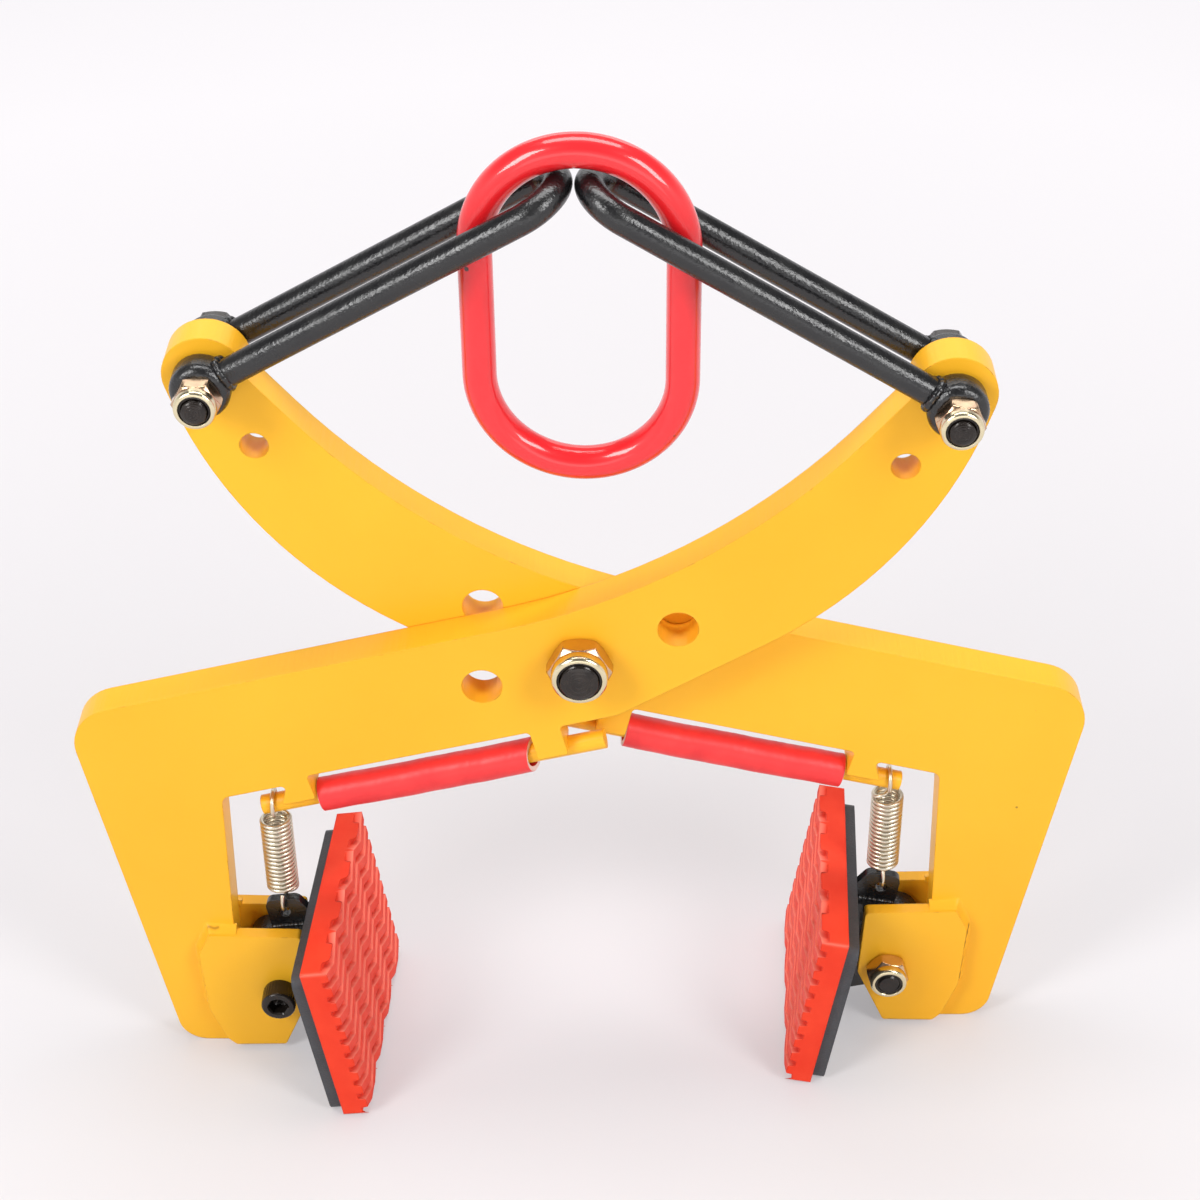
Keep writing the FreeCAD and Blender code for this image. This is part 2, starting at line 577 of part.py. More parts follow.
def ring(bars):
    """Oblong ring over both U-bends, turned a little about Z so that it passes between the legs of each.

    It is drawn high and let down until it rests on the bars with the rest gap.
    """
    half_w = (RING_INNER_W + RING_WIRE_D) / 2
    half_h = (RING_INNER_H + RING_WIRE_D) / 2 - half_w
    ends = [vec(-half_w, 0, -half_h), vec(-half_w, 0, half_h),
            vec(half_w, 0, half_h), vec(half_w, 0, -half_h)]
    crest = vec(0, 0, half_h + half_w)
    path = [Part.makeLine(ends[0], ends[1]), Part.Arc(ends[1], crest, ends[2]).toShape(),
            Part.makeLine(ends[2], ends[3]), Part.Arc(ends[3], crest * -1.0, ends[0]).toShape()]
    parts = []
    for edge in path:
        tangent = edge.tangentAt(edge.FirstParameter)
        cross = Part.Wire([Part.makeCircle(RING_WIRE_D / 2, edge.Vertexes[0].Point, tangent)])
        parts.append(Part.Wire([edge]).makePipeShell([cross], True, False))
    loop = parts[0].fuse(parts[1:]).removeSplitter()
    loop.rotate(vec(0, 0, 0), vec(0, 0, 1), RING_YAW)
    crown = EYE_CENTRE.z + LINK_LENGTH * LINK_DIR.z + LINK_ROD_D / 2
    loop.translate(vec(*RING_SHIFT, crown + 3.0 - half_h - half_w + RING_WIRE_D / 2))
    for _ in range(12):
        loop.translate(vec(0, 0, RING_REST_GAP - loop.distToShape(bars)[0]))
    gap, top = loop.distToShape(bars)[0], loop.optimalBoundingBox().ZMax
    print("ring to bars", round(gap, 3), "ring top", round(top, 2))
    return loop


def link_hardware(front_face, back_face, x):
    """Bolt and nut through one arm's eye and the two eyes of its link, nut in front."""
    nut_seat = front_face - FACE_GAP - LINK_EYE_T - FACE_GAP
    head_seat = back_face + FACE_GAP + LINK_EYE_T + FACE_GAP
    tip = nut_seat - M10[2] - M10[3] - BOLT_STICKOUT
    z = EYE_CENTRE.z
    return hex_bolt(x, z, M10, head_seat, tip), nut_front(x, z, M10, nut_seat)


def build():
    """All nodes by name."""
    nodes = {}
    pairs = {
        "cheek_outer": cheek(FRONT_FACE - CHEEK_T), "cheek_inner": cheek(FRONT_BACK),
        "bumper_rod": rod(ROD_D / 2.0), "bumper_hose": hose(),
        "pad_bolt": cap_screw(), "pad_nut": cap_nut(), "spring": spring(),
        "pad_rubber": pad_rubber(), "pad_backing": pad_backing(), "pad_lug": pad_lug(),
        "spring_tab": spring_tab()}
    for name, shape in pairs.items():
        nodes["left_" + name] = shape
        nodes["right_" + name] = turned(shape)
    front = arm()
    nodes["front_arm"] = front
    nodes["rear_arm"] = turned(front)
    for name, shape in (("link", link()), ("link_eye_outer", link_eye(-1)), ("link_eye_inner", link_eye(1))):
        nodes["right_" + name] = shape
        nodes["left_" + name] = turned(shape)
    nodes["right_link_bolt"], nodes["right_link_nut"] = link_hardware(FRONT_FACE, FRONT_BACK, EYE_CENTRE.x)
    nodes["left_link_bolt"], nodes["left_link_nut"] = link_hardware(-FRONT_BACK, -FRONT_FACE, -EYE_CENTRE.x)
    nut_seat = FRONT_FACE - FACE_GAP
    nodes["pivot_nut"] = nut_front(0, PIVOT_Z, M16, nut_seat)
    tip = nut_seat - M16[2] - M16[3] - BOLT_STICKOUT
    nodes["pivot_bolt"] = hex_bolt(0, PIVOT_Z, M16, -FRONT_FACE + FACE_GAP, tip)
    nodes["lifting_ring"] = ring(Part.makeCompound([nodes["left_link"], nodes["right_link"]]))
    print("between the U-bends", round(nodes["left_link"].distToShape(nodes["right_link"])[0], 3))
    return nodes


os.makedirs("parts", exist_ok=True)
whole = FreeCAD.BoundBox()
for node_name, solid in sorted(build().items()):
    whole.add(solid.optimalBoundingBox())
    solid.exportStep("parts/" + node_name + ".step")
    print(node_name, "valid", solid.isValid(), "solids", len(solid.Solids), "volume", round(solid.Volume))
size = [round(length, 2) for length in (whole.XLength, whole.YLength, whole.ZLength)]
print("size", *size, "floor", round(whole.ZMin, 3))
print("apex x", round(APEX_X, 3), "link length", round(LINK_LENGTH, 3))
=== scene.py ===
"""Looks of the lifting tongs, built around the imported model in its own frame, in metres."""

import json
import logging
import math
from collections.abc import Callable
from dataclasses import dataclass
from enum import Enum

import bmesh
import bpy
import numpy as np
from mathutils import Matrix, Vector

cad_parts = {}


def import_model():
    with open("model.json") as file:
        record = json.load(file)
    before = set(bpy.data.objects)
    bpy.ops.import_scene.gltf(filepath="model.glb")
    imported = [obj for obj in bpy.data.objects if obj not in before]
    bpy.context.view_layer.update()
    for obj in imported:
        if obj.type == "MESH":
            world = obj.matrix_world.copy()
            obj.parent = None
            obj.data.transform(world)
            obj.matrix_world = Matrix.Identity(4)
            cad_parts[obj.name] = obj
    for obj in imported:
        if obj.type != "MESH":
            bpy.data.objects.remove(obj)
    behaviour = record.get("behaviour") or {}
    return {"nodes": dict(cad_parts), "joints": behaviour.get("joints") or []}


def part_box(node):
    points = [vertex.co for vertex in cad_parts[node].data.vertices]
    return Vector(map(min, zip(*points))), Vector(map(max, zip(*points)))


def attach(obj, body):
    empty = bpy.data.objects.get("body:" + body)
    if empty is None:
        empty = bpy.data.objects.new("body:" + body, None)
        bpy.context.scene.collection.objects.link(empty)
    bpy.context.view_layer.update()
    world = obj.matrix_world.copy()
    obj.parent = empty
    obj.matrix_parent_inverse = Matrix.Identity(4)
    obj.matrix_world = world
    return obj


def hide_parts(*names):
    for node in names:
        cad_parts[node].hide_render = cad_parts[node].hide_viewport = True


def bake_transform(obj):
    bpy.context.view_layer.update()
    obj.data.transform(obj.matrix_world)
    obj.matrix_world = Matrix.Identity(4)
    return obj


Array = np.ndarray
Point = tuple[float, float, float]
Rgb = tuple[float, float, float]
Span = tuple[float, float]
Row = tuple[float, float, bool]
Socket = bpy.types.NodeSocket
Tree = bpy.types.NodeTree
MM = 0.001
TINY = 1e-9
# Mesh layer of marks that take a finish's marked colour: cut hose ends, nut collars, a painted highlight on pad ribs
# and corners, and painted shade along the cheek welds' foot.
MARK_LAYER = "cut"
LOG = logging.getLogger("tongs")


class Side(Enum):
    """Which half of the tongs a piece belongs to; the halves are twins about the vertical axis."""

    LEFT = "left"
    RIGHT = "right"

    @property
    def arm(self) -> str:
        """Body of the arm whose foot is on this side."""
        return "front_arm" if self is Side.LEFT else "rear_arm"

    @property
    def link_arm(self) -> str:
        """Body of the arm whose upper eye is on this side."""
        return "rear_arm" if self is Side.LEFT else "front_arm"

    def node(self, name: str) -> str:
        """Name of this side's node or body."""
        return f"{self.value}_{name}"


def half_turn(points: Array) -> Array:
    """Turn points half round about Z: x and y change sign."""
    return points * np.array((-1.0, -1.0, 1.0))


def unit(vectors: Array) -> Array:
    """Vectors scaled to length one along the last axis."""
    return vectors / np.linalg.norm(vectors, axis=-1, keepdims=True)


def node_box(name: str) -> tuple[Array, Array]:
    """Lowest and highest corner of a CAD node as arrays."""
    low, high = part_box(name)
    return np.array(low), np.array(high)


def around(count: int) -> Array:
    """Angles of a full turn without the repeated last one."""
    return np.linspace(0.0, 2.0 * math.pi, count, endpoint=False)


def ripple(run: Array, *waves: tuple[float, float, float]) -> Array:
    """Sum of sine waves, each given as amplitude, length and phase.

    Args:
        run: Distances along the piece.
        waves: Amplitude, wave length and phase of each wave.

    Returns:
        The sum at each distance.
    """
    total = np.zeros_like(run)
    for amplitude, length, phase in waves:
        total = total + amplitude * np.sin(2.0 * math.pi * run / length + phase)
    return total


def tube(path: Array, radius: Array | float, sides: int, guide: Array, closed: bool = False) -> Array:
    """Circle carried along a path: each ring stands square to the path's direction at its point.

    Args:
        path: Points of the path.
        radius: Radius at each point, or one radius.
        sides: Points on each ring.
        guide: Direction that is never along the path; the rings count their angle from it.
        closed: Whether the path returns to its start.

    Returns:
        Grid of points, path by ring; open paths end in a point at each end's middle.
    """
    ahead = np.roll(path, -1, axis=0) - np.roll(path, 1, axis=0) if closed else np.gradient(path, axis=0)
    ahead = unit(ahead)
    across = unit(guide - (ahead @ guide)[:, None] * ahead)
    up = np.cross(ahead, across)
    angle = around(sides)
    radius = np.broadcast_to(np.asarray(radius, float), (len(path),))
    rings = path[:, None, :] + radius[:, None, None] * (
        np.cos(angle)[None, :, None] * across[:, None, :] + np.sin(angle)[None, :, None] * up[:, None, :])
    if closed:
        return rings
    first = np.repeat(path[:1, None, :], sides, axis=1)
    last = np.repeat(path[-1:, None, :], sides, axis=1)
    return np.concatenate([first, rings, last])


def lathe(along: Array, radius: Array, centre: Array, axis: Array, sides: int) -> Array:
    """Profile turned round an axis: a point is centre + along x axis + radius x direction at its angle.

    Args:
        along: Distance along the axis of each profile row.
        radius: Radius of each row, or of each row at each angle.
        centre: Point where along is zero.
        axis: Unit vector along Y, plus or minus.
        sides: Points round the axis.

    Returns:
        Grid of points, row by angle; angle zero is along X and a quarter turn is along Z.
    """
    angle = around(sides)
    spoke = np.stack([np.cos(angle), np.zeros(sides), np.sin(angle)], axis=-1)
    radius = radius[:, None] if radius.ndim == 1 else radius
    return centre + along[:, None, None] * axis + radius[:, :, None] * spoke[None, :, :]


def arc_rows(middle: tuple[float, float], radius: float, start: float, end: float, count: int) -> Array:
    """Rows (along, radius) on an arc of a profile, angles in degrees from the along axis."""
    angle = np.radians(np.linspace(start, end, count))
    return np.stack([middle[0] + radius * np.cos(angle), middle[1] + radius * np.sin(angle)], axis=-1)


@dataclass
class Sheet:
    """One grid of points for a mesh, with which of its two directions close on themselves."""

    points: Array
    closed_rows: bool = False
    closed_columns: bool = True
    mark: Array | None = None

    def faces(self, offset: int) -> Array:
        """Quads between neighbouring rows and columns.

        Args:
            offset: Index of this grid's first point in the mesh.

        Returns:
            Four point indices per quad.
        """
        rows, columns = self.points.shape[:2]
        i = np.arange(rows if self.closed_rows else rows - 1)[:, None]
        j = np.arange(columns if self.closed_columns else columns - 1)[None, :]
        below, beside = (i + 1) % rows, (j + 1) % columns
        quads = np.broadcast_arrays(i * columns + j, below * columns + j,
                                    below * columns + beside, i * columns + beside)
        return np.stack(quads, axis=-1).reshape(-1, 4) + offset


def mesh_piece(name: str, sheets: list[Sheet], crease: float = 38.0) -> bpy.types.Object:
    """Mesh object from grids: seams and poles are merged, faces point outwards, sharp edges stay sharp.

    Args:
        name: Name of the piece.
        sheets: Grids that make it up.
        crease: Angle in degrees beyond which an edge is drawn sharp.

    Returns:
        The new object, at the origin.
    """
    points = np.concatenate([s.points.reshape(-1, 3) for s in sheets])
    starts = np.cumsum([0] + [s.points.shape[0] * s.points.shape[1] for s in sheets])
    faces = np.concatenate([s.faces(int(start)) for s, start in zip(sheets, starts)])
    mesh = bpy.data.meshes.new(name)
    mesh.from_pydata(points.tolist(), [], faces.tolist())
    if sheets[0].mark is not None:
        layer = mesh.attributes.new(MARK_LAYER, "FLOAT", "POINT")
        layer.data.foreach_set("value", np.concatenate([s.mark.reshape(-1) for s in sheets]).astype(np.float32))
    work = bmesh.new()
    work.from_mesh(mesh)
    bmesh.ops.remove_doubles(work, verts=work.verts, dist=1e-7)
    bmesh.ops.recalc_face_normals(work, faces=work.faces)
    work.to_mesh(mesh)
    work.free()
    mesh.shade_smooth()
    mesh.set_sharp_from_angle(angle=math.radians(crease))
    piece = bpy.data.objects.new(name, mesh)
    bpy.context.scene.collection.objects.link(piece)
    return piece


def shader_node(tree: Tree, kind: str, inputs: dict[str | int, Socket | float | tuple] | None = None,
                **settings: object) -> bpy.types.Node:
    """New shader node: an input given as a socket is linked, and one given as a value is set.

    Args:
        tree: Tree that it goes into.
        kind: Kind of node, without the words that all kinds start with.
        inputs: Socket or value of each input, by its name or number.
        settings: The node's own properties.

    Returns:
        The node.
    """
    node = tree.nodes.new("ShaderNode" + kind)
    for name, value in settings.items():
        setattr(node, name, value)
    for key, value in (inputs or {}).items():
        if isinstance(value, Socket):
            tree.links.new(value, node.inputs[key])
        else:
            node.inputs[key].default_value = value
    return node


def mixed(tree: Tree, mask: Socket, first: Socket, second: Socket | tuple) -> Socket:
    """Second colour laid over the first where the mask is."""
    return shader_node(tree, "Mix", {0: mask, 6: first, 7: second}, data_type="RGBA").outputs[2]


class Effects:
    """Shader node groups that several finishes share, each built once."""

    PATCHES: Span = (0.35, 0.68)
    EDGE_TURN: Span = (0.985, 0.86)
    EDGE_BREAKS: Span = (0.58, 0.66)
    DRAG_STRETCH: Point = (1.0, 0.06, 1.0)
    CUT_FACING: Span = (0.6, 0.2)
    DOT_RIM: Span = (0.0, 0.03)
    DOTS_KEPT: Span = (0.80, 0.82)
    BEVEL_SAMPLES: int = 6

    _made: dict[str, Tree] = {}

    @classmethod
    def get(cls, name: str) -> Tree:
        """The group of that name, built on first use."""
        if name not in cls._made:
            cls._made[name] = getattr(cls, "_" + name)()
        return cls._made[name]

    @staticmethod
    def _new(name: str, inputs: dict[str, str], outputs: dict[str, str]) -> tuple:
        """Empty group with named sockets.

        Args:
            name: Name of the group.
            inputs: Socket name to kind, Float, Vector or Color.
            outputs: The same for what it puts out.

        Returns:
            The tree, the sockets that it is given and its output node.
        """
        tree = bpy.data.node_groups.new(name, "ShaderNodeTree")
        for direction, sockets in (("INPUT", inputs), ("OUTPUT", outputs)):
            for socket, kind in sockets.items():
                tree.interface.new_socket(socket, in_out=direction, socket_type="NodeSocket" + kind)
        return tree, tree.nodes.new("NodeGroupInput").outputs, tree.nodes.new("NodeGroupOutput")

    @staticmethod
    def _put(tree: Tree, made: bpy.types.Node, **values: Socket) -> Tree:
        """The group, with each value linked to the socket of that name."""
        for name, value in values.items():
            tree.links.new(value, made.inputs[name])
        return tree

    @staticmethod
    def _place(tree: Tree) -> Socket:
        """Object coordinates inside a group."""
        return shader_node(tree, "TexCoord").outputs["Object"]

    @classmethod
    def _noise(cls, tree: Tree, scale: Socket, detail: float, vector: Socket | None = None) -> Socket:
        """Noise on Object coordinates, or on the coordinates given."""
        inputs = {"Vector": vector or cls._place(tree), "Scale": scale, "Detail": detail}
        return shader_node(tree, "TexNoise", inputs).outputs[0]

    @staticmethod
    def _range(tree: Tree, value: Socket, span: Span) -> Socket:
        """Value stretched so that the span's ends give 0 and 1, and held between these."""
        inputs = {"Value": value, "From Min": span[0], "From Max": span[1]}
        return shader_node(tree, "MapRange", inputs).outputs["Result"]

    @staticmethod
    def _math(tree: Tree, kind: str, first: Socket, second: Socket | float) -> Socket:
        """One arithmetic step on values."""
        return shader_node(tree, "Math", {0: first, 1: second}, operation=kind).outputs[0]

    @classmethod
    def _mottle(cls) -> Tree:
        """Two colours in soft patches, with the patches' mask."""
        tree, given, made = cls._new("mottle", {"Main": "Color", "Other": "Color", "Scale": "Float"},
                                     {"Color": "Color", "Mask": "Float"})
        mask = cls._range(tree, cls._noise(tree, given["Scale"], 4.0), cls.PATCHES)
        return cls._put(tree, made, Color=mixed(tree, mask, given["Main"], given["Other"]), Mask=mask)

    @classmethod
    def _edge_wear(cls) -> Tree:
        """Broken mask along sharp edges, and a normal that rounds them."""
        tree, given, made = cls._new("edge wear", {"Radius": "Float", "Scale": "Float", "Amount": "Float"},
                                     {"Mask": "Float", "Normal": "Vector"})
        rounded = shader_node(tree, "Bevel", {"Radius": given["Radius"]}, samples=cls.BEVEL_SAMPLES).outputs["Normal"]
        flat = shader_node(tree, "NewGeometry").outputs["True Normal"]
        along = shader_node(tree, "VectorMath", {0: rounded, 1: flat}, operation="DOT_PRODUCT").outputs["Value"]
        broken = cls._range(tree, cls._noise(tree, given["Scale"], 6.0), cls.EDGE_BREAKS)
        worn = cls._math(tree, "MULTIPLY", cls._range(tree, along, cls.EDGE_TURN), broken)
        return cls._put(tree, made, Mask=cls._math(tree, "MULTIPLY", worn, given["Amount"]), Normal=rounded)

    @classmethod
    def _grain(cls) -> Tree:
        """Fine height, as of orange peel, powder coat or moulded rubber."""
        tree, given, made = cls._new("grain", {"Scale": "Float"}, {"Height": "Float"})
        return cls._put(tree, made, Height=cls._noise(tree, given["Scale"], 2.0))

    @classmethod
    def _drag_lines(cls) -> Tree:
        """Lines that a torch leaves across the cut edges of a plate: noise drawn out along Y, faces left plain."""
        tree, given, made = cls._new("drag lines", {"Scale": "Float"}, {"Height": "Float"})
        drawn = shader_node(tree, "Mapping", {"Vector": cls._place(tree), "Scale": cls.DRAG_STRETCH})
        lines = cls._noise(tree, given["Scale"], 3.0, drawn.outputs["Vector"])
        flat = shader_node(tree, "NewGeometry").outputs["True Normal"]
        facing = cls._math(tree, "ABSOLUTE", shader_node(tree, "SeparateXYZ", {0: flat}).outputs["Y"], 0.0)
        edge = cls._range(tree, facing, cls.CUT_FACING)
        return cls._put(tree, made, Height=cls._math(tree, "MULTIPLY", lines, edge))

    @classmethod
    def _specks(cls) -> Tree:
        """Few small dots, as of chips and dirt."""
        tree, given, made = cls._new("specks", {"Scale": "Float", "Size": "Float"}, {"Mask": "Float"})
        cells = shader_node(tree, "TexVoronoi", {"Vector": cls._place(tree), "Scale": given["Scale"]})
        size = cls._math(tree, "SUBTRACT", given["Size"], cells.outputs["Distance"])
        chance = shader_node(tree, "SeparateColor", {0: cells.outputs["Color"]}).outputs[0]
        dot, kept = cls._range(tree, size, cls.DOT_RIM), cls._range(tree, chance, cls.DOTS_KEPT)
        return cls._put(tree, made, Mask=cls._math(tree, "MULTIPLY", dot, kept))


@dataclass(frozen=True)
class Finish:
    """One surface finish: colours, gloss and fine relief."""

    name: str
    slot: str
    main: Rgb
    other: Rgb
    patch_scale: float = 18.0
    roughness: tuple[float, float] = (0.3, 0.4)
    metallic: float = 0.0
    coat: float = 0.0
    coat_roughness: float = 0.1
    ior: float = 1.5
    grain_scale: float = 700.0
    grain_depth: float = 0.02
    edge_radius: float = 0.6
    wear: float = 0.0
    wear_color: Rgb = (0.2, 0.15, 0.1)
    wear_scale: float = 160.0
    drag_lines: float = 0.0
    drag_scale: float = 420.0
    speck_size: float = 0.0
    speck_scale: float = 60.0
    speck_color: Rgb = (0.12, 0.06, 0.02)
    # Colour laid where a mesh's mark layer is: on pads a painted highlight, on cheek welds painted shade, elsewhere
    # cut ends and collars.
    mark_color: Rgb | None = None

    def _group(self, tree: Tree, effect: str, **values: float | Rgb) -> bpy.types.Node:
        """Shared effect placed in this material with its own values."""
        inputs = {socket: (*value, 1.0) if isinstance(value, tuple) else value for socket, value in values.items()}
        return shader_node(tree, "Group", inputs, node_tree=Effects.get(effect))

    def material(self) -> bpy.types.Material:
        """Material of this finish, made on first use.

        Returns:
            The material.
        """
        name = "finish_" + self.name
        if name in bpy.data.materials:
            return bpy.data.materials[name]
        material = bpy.data.materials.new(name)
        material.use_nodes = True
        tree = material.node_tree
        shader = tree.nodes["Principled BSDF"]
        for socket, value in (("Metallic", self.metallic), ("Coat Weight", self.coat), ("IOR", self.ior),
                              ("Coat Roughness", self.coat_roughness)):
            shader.inputs[socket].default_value = value
        patches = self._group(tree, "mottle", Main=self.main, Other=self.other, Scale=self.patch_scale)
        edge = self._group(tree, "edge_wear", Radius=self.edge_radius * MM, Scale=self.wear_scale, Amount=self.wear)
        color = patches.outputs["Color"]
        if self.wear > 0.0:
            color = mixed(tree, edge.outputs["Mask"], color, (*self.wear_color, 1.0))
        if self.speck_size > 0.0:
            specks = self._group(tree, "specks", Scale=self.speck_scale, Size=self.speck_size)
            color = mixed(tree, specks.outputs["Mask"], color, (*self.speck_color, 1.0))
        # Marked colour: a painted highlight on the pads and painted shade on the cheek welds, where the mesh carries
        # those marks.
        if self.mark_color is not None:
            cut = shader_node(tree, "Attribute", attribute_name=MARK_LAYER)
            color = mixed(tree, cut.outputs["Fac"], color, (*self.mark_color, 1.0))
        gloss = shader_node(tree, "MapRange", {"Value": patches.outputs["Mask"], "To Min": self.roughness[0],
                                               "To Max": self.roughness[1]})
        normal = edge.outputs["Normal"]
        for effect, scale, depth in (("grain", self.grain_scale, self.grain_depth),
                                     ("drag_lines", self.drag_scale, self.drag_lines)):
            if depth > 0.0:
                height = self._group(tree, effect, Scale=scale).outputs["Height"]
                bump = shader_node(tree, "Bump", {"Distance": depth * MM, "Height": height, "Normal": normal})
                normal = bump.outputs["Normal"]
        for socket, source in (("Base Color", color), ("Roughness", gloss.outputs["Result"]), ("Normal", normal)):
            tree.links.new(source, shader.inputs[socket])
        return material

    def dress_node(self, node: bpy.types.Object) -> None:
        """Give a CAD node this finish."""
        node.data.materials.clear()
        node.data.materials.append(self.material())

    def dress(self, piece: bpy.types.Object, body: str, *nodes: str) -> bpy.types.Object:
        """Give a new piece this finish and its body.

        Args:
            piece: The new piece.
            body: Body that it rides on.
            nodes: CAD nodes that it stands for.

        Returns:
            The piece.
        """
        piece.data.materials.append(self.material())
        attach(piece, body)
        if nodes:
            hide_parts(*nodes)
        LOG.info("%s on %s, %d faces", piece.name, body, len(piece.data.polygons))
        return piece


# Its marked colour is painted shade: a dark broken line along the cheek welds' foot.
YELLOW_PAINT = Finish("yellow_paint", "yellow_paint", (0.96, 0.50, 0.024), (0.95, 0.46, 0.019), patch_scale=9.0,
                      roughness=(0.34, 0.44), ior=1.38, grain_scale=900.0, grain_depth=0.03, edge_radius=0.9,
                      wear=0.75, wear_color=(0.52, 0.20, 0.02), drag_lines=0.25, speck_size=0.03, speck_scale=36.0,
                      mark_color=(0.14, 0.06, 0.008))
RED_PAINT = Finish("red_paint", "red_paint", (0.87, 0.017, 0.023), (0.80, 0.012, 0.017), patch_scale=30.0,
                   roughness=(0.30, 0.40), coat=1.0, coat_roughness=0.09, ior=1.33, grain_scale=300.0,
                   grain_depth=0.05, edge_radius=0.4, speck_size=0.09, speck_scale=75.0,
                   speck_color=(0.05, 0.012, 0.01))
BLACK_COAT = Finish("black_coat", "black_coat", (0.005, 0.005, 0.006), (0.009, 0.009, 0.009), patch_scale=120.0,
                    roughness=(0.22, 0.31), ior=1.6, grain_scale=850.0, grain_depth=0.19, edge_radius=0.5)
PLATE_COAT = Finish("plate_coat", "black_coat", (0.036, 0.037, 0.042), (0.054, 0.056, 0.062), patch_scale=140.0,
                    roughness=(0.42, 0.6), grain_scale=1300.0, grain_depth=0.25, edge_radius=0.7, wear=0.5,
                    wear_color=(0.2, 0.2, 0.2))
HOSE_RUBBER = Finish("hose_rubber", "red_hose", (0.88, 0.040, 0.040), (0.76, 0.028, 0.032), patch_scale=90.0,
                     roughness=(0.36, 0.46), ior=1.48, grain_scale=520.0, grain_depth=0.07, edge_radius=0.3,
                     mark_color=(0.80, 0.62, 0.58))
# Its marked colour is a painted highlight on the ribs' upper edges and the block's front top corner.
PAD_RUBBER = Finish("pad_rubber", "red_rubber", (0.85, 0.056, 0.022), (0.80, 0.044, 0.018), patch_scale=60.0,
                    roughness=(0.46, 0.58), ior=1.24, grain_scale=1400.0, grain_depth=0.06, edge_radius=0.8,
                    mark_color=(0.98, 0.25, 0.18))
ZINC = Finish("zinc", "zinc", (0.68, 0.48, 0.29), (0.61, 0.40, 0.27), patch_scale=110.0, roughness=(0.14, 0.26),
              metallic=1.0, grain_scale=1800.0, grain_depth=0.02, edge_radius=0.4, mark_color=(0.76, 0.67, 0.45))
SPRING_ZINC = Finish("spring_zinc", "spring_zinc", (0.74, 0.68, 0.54), (0.66, 0.58, 0.46), patch_scale=260.0,
                     roughness=(0.27, 0.40), metallic=1.0, grain_scale=1800.0, grain_depth=0.015, edge_radius=0.2)
BLACK_OXIDE = Finish("black_oxide", "black_oxide", (0.015, 0.011, 0.009), (0.028, 0.021, 0.017), patch_scale=200.0,
                     roughness=(0.14, 0.27), metallic=0.3, grain_scale=2000.0, grain_depth=0.03, edge_radius=0.3)


@dataclass(frozen=True)
class Softbox:
    """Area lamp: its place, the point it looks at, its width and height in metres, and its power in watts."""

    name: str
    place: Point
    aim: Point
    size: Span
    power: float

    def build(self) -> None:
        """The lamp, turned to the point it looks at."""
        light = bpy.data.lights.new(self.name, "AREA")
        light.shape = "RECTANGLE"
        light.size, light.size_y = self.size
        light.energy = self.power
        lamp = bpy.data.objects.new(self.name, light)
        lamp.location = self.place
        lamp.rotation_euler = (Vector(self.aim) - Vector(self.place)).to_track_quat("-Z", "Y").to_euler()
        bpy.context.scene.collection.objects.link(lamp)


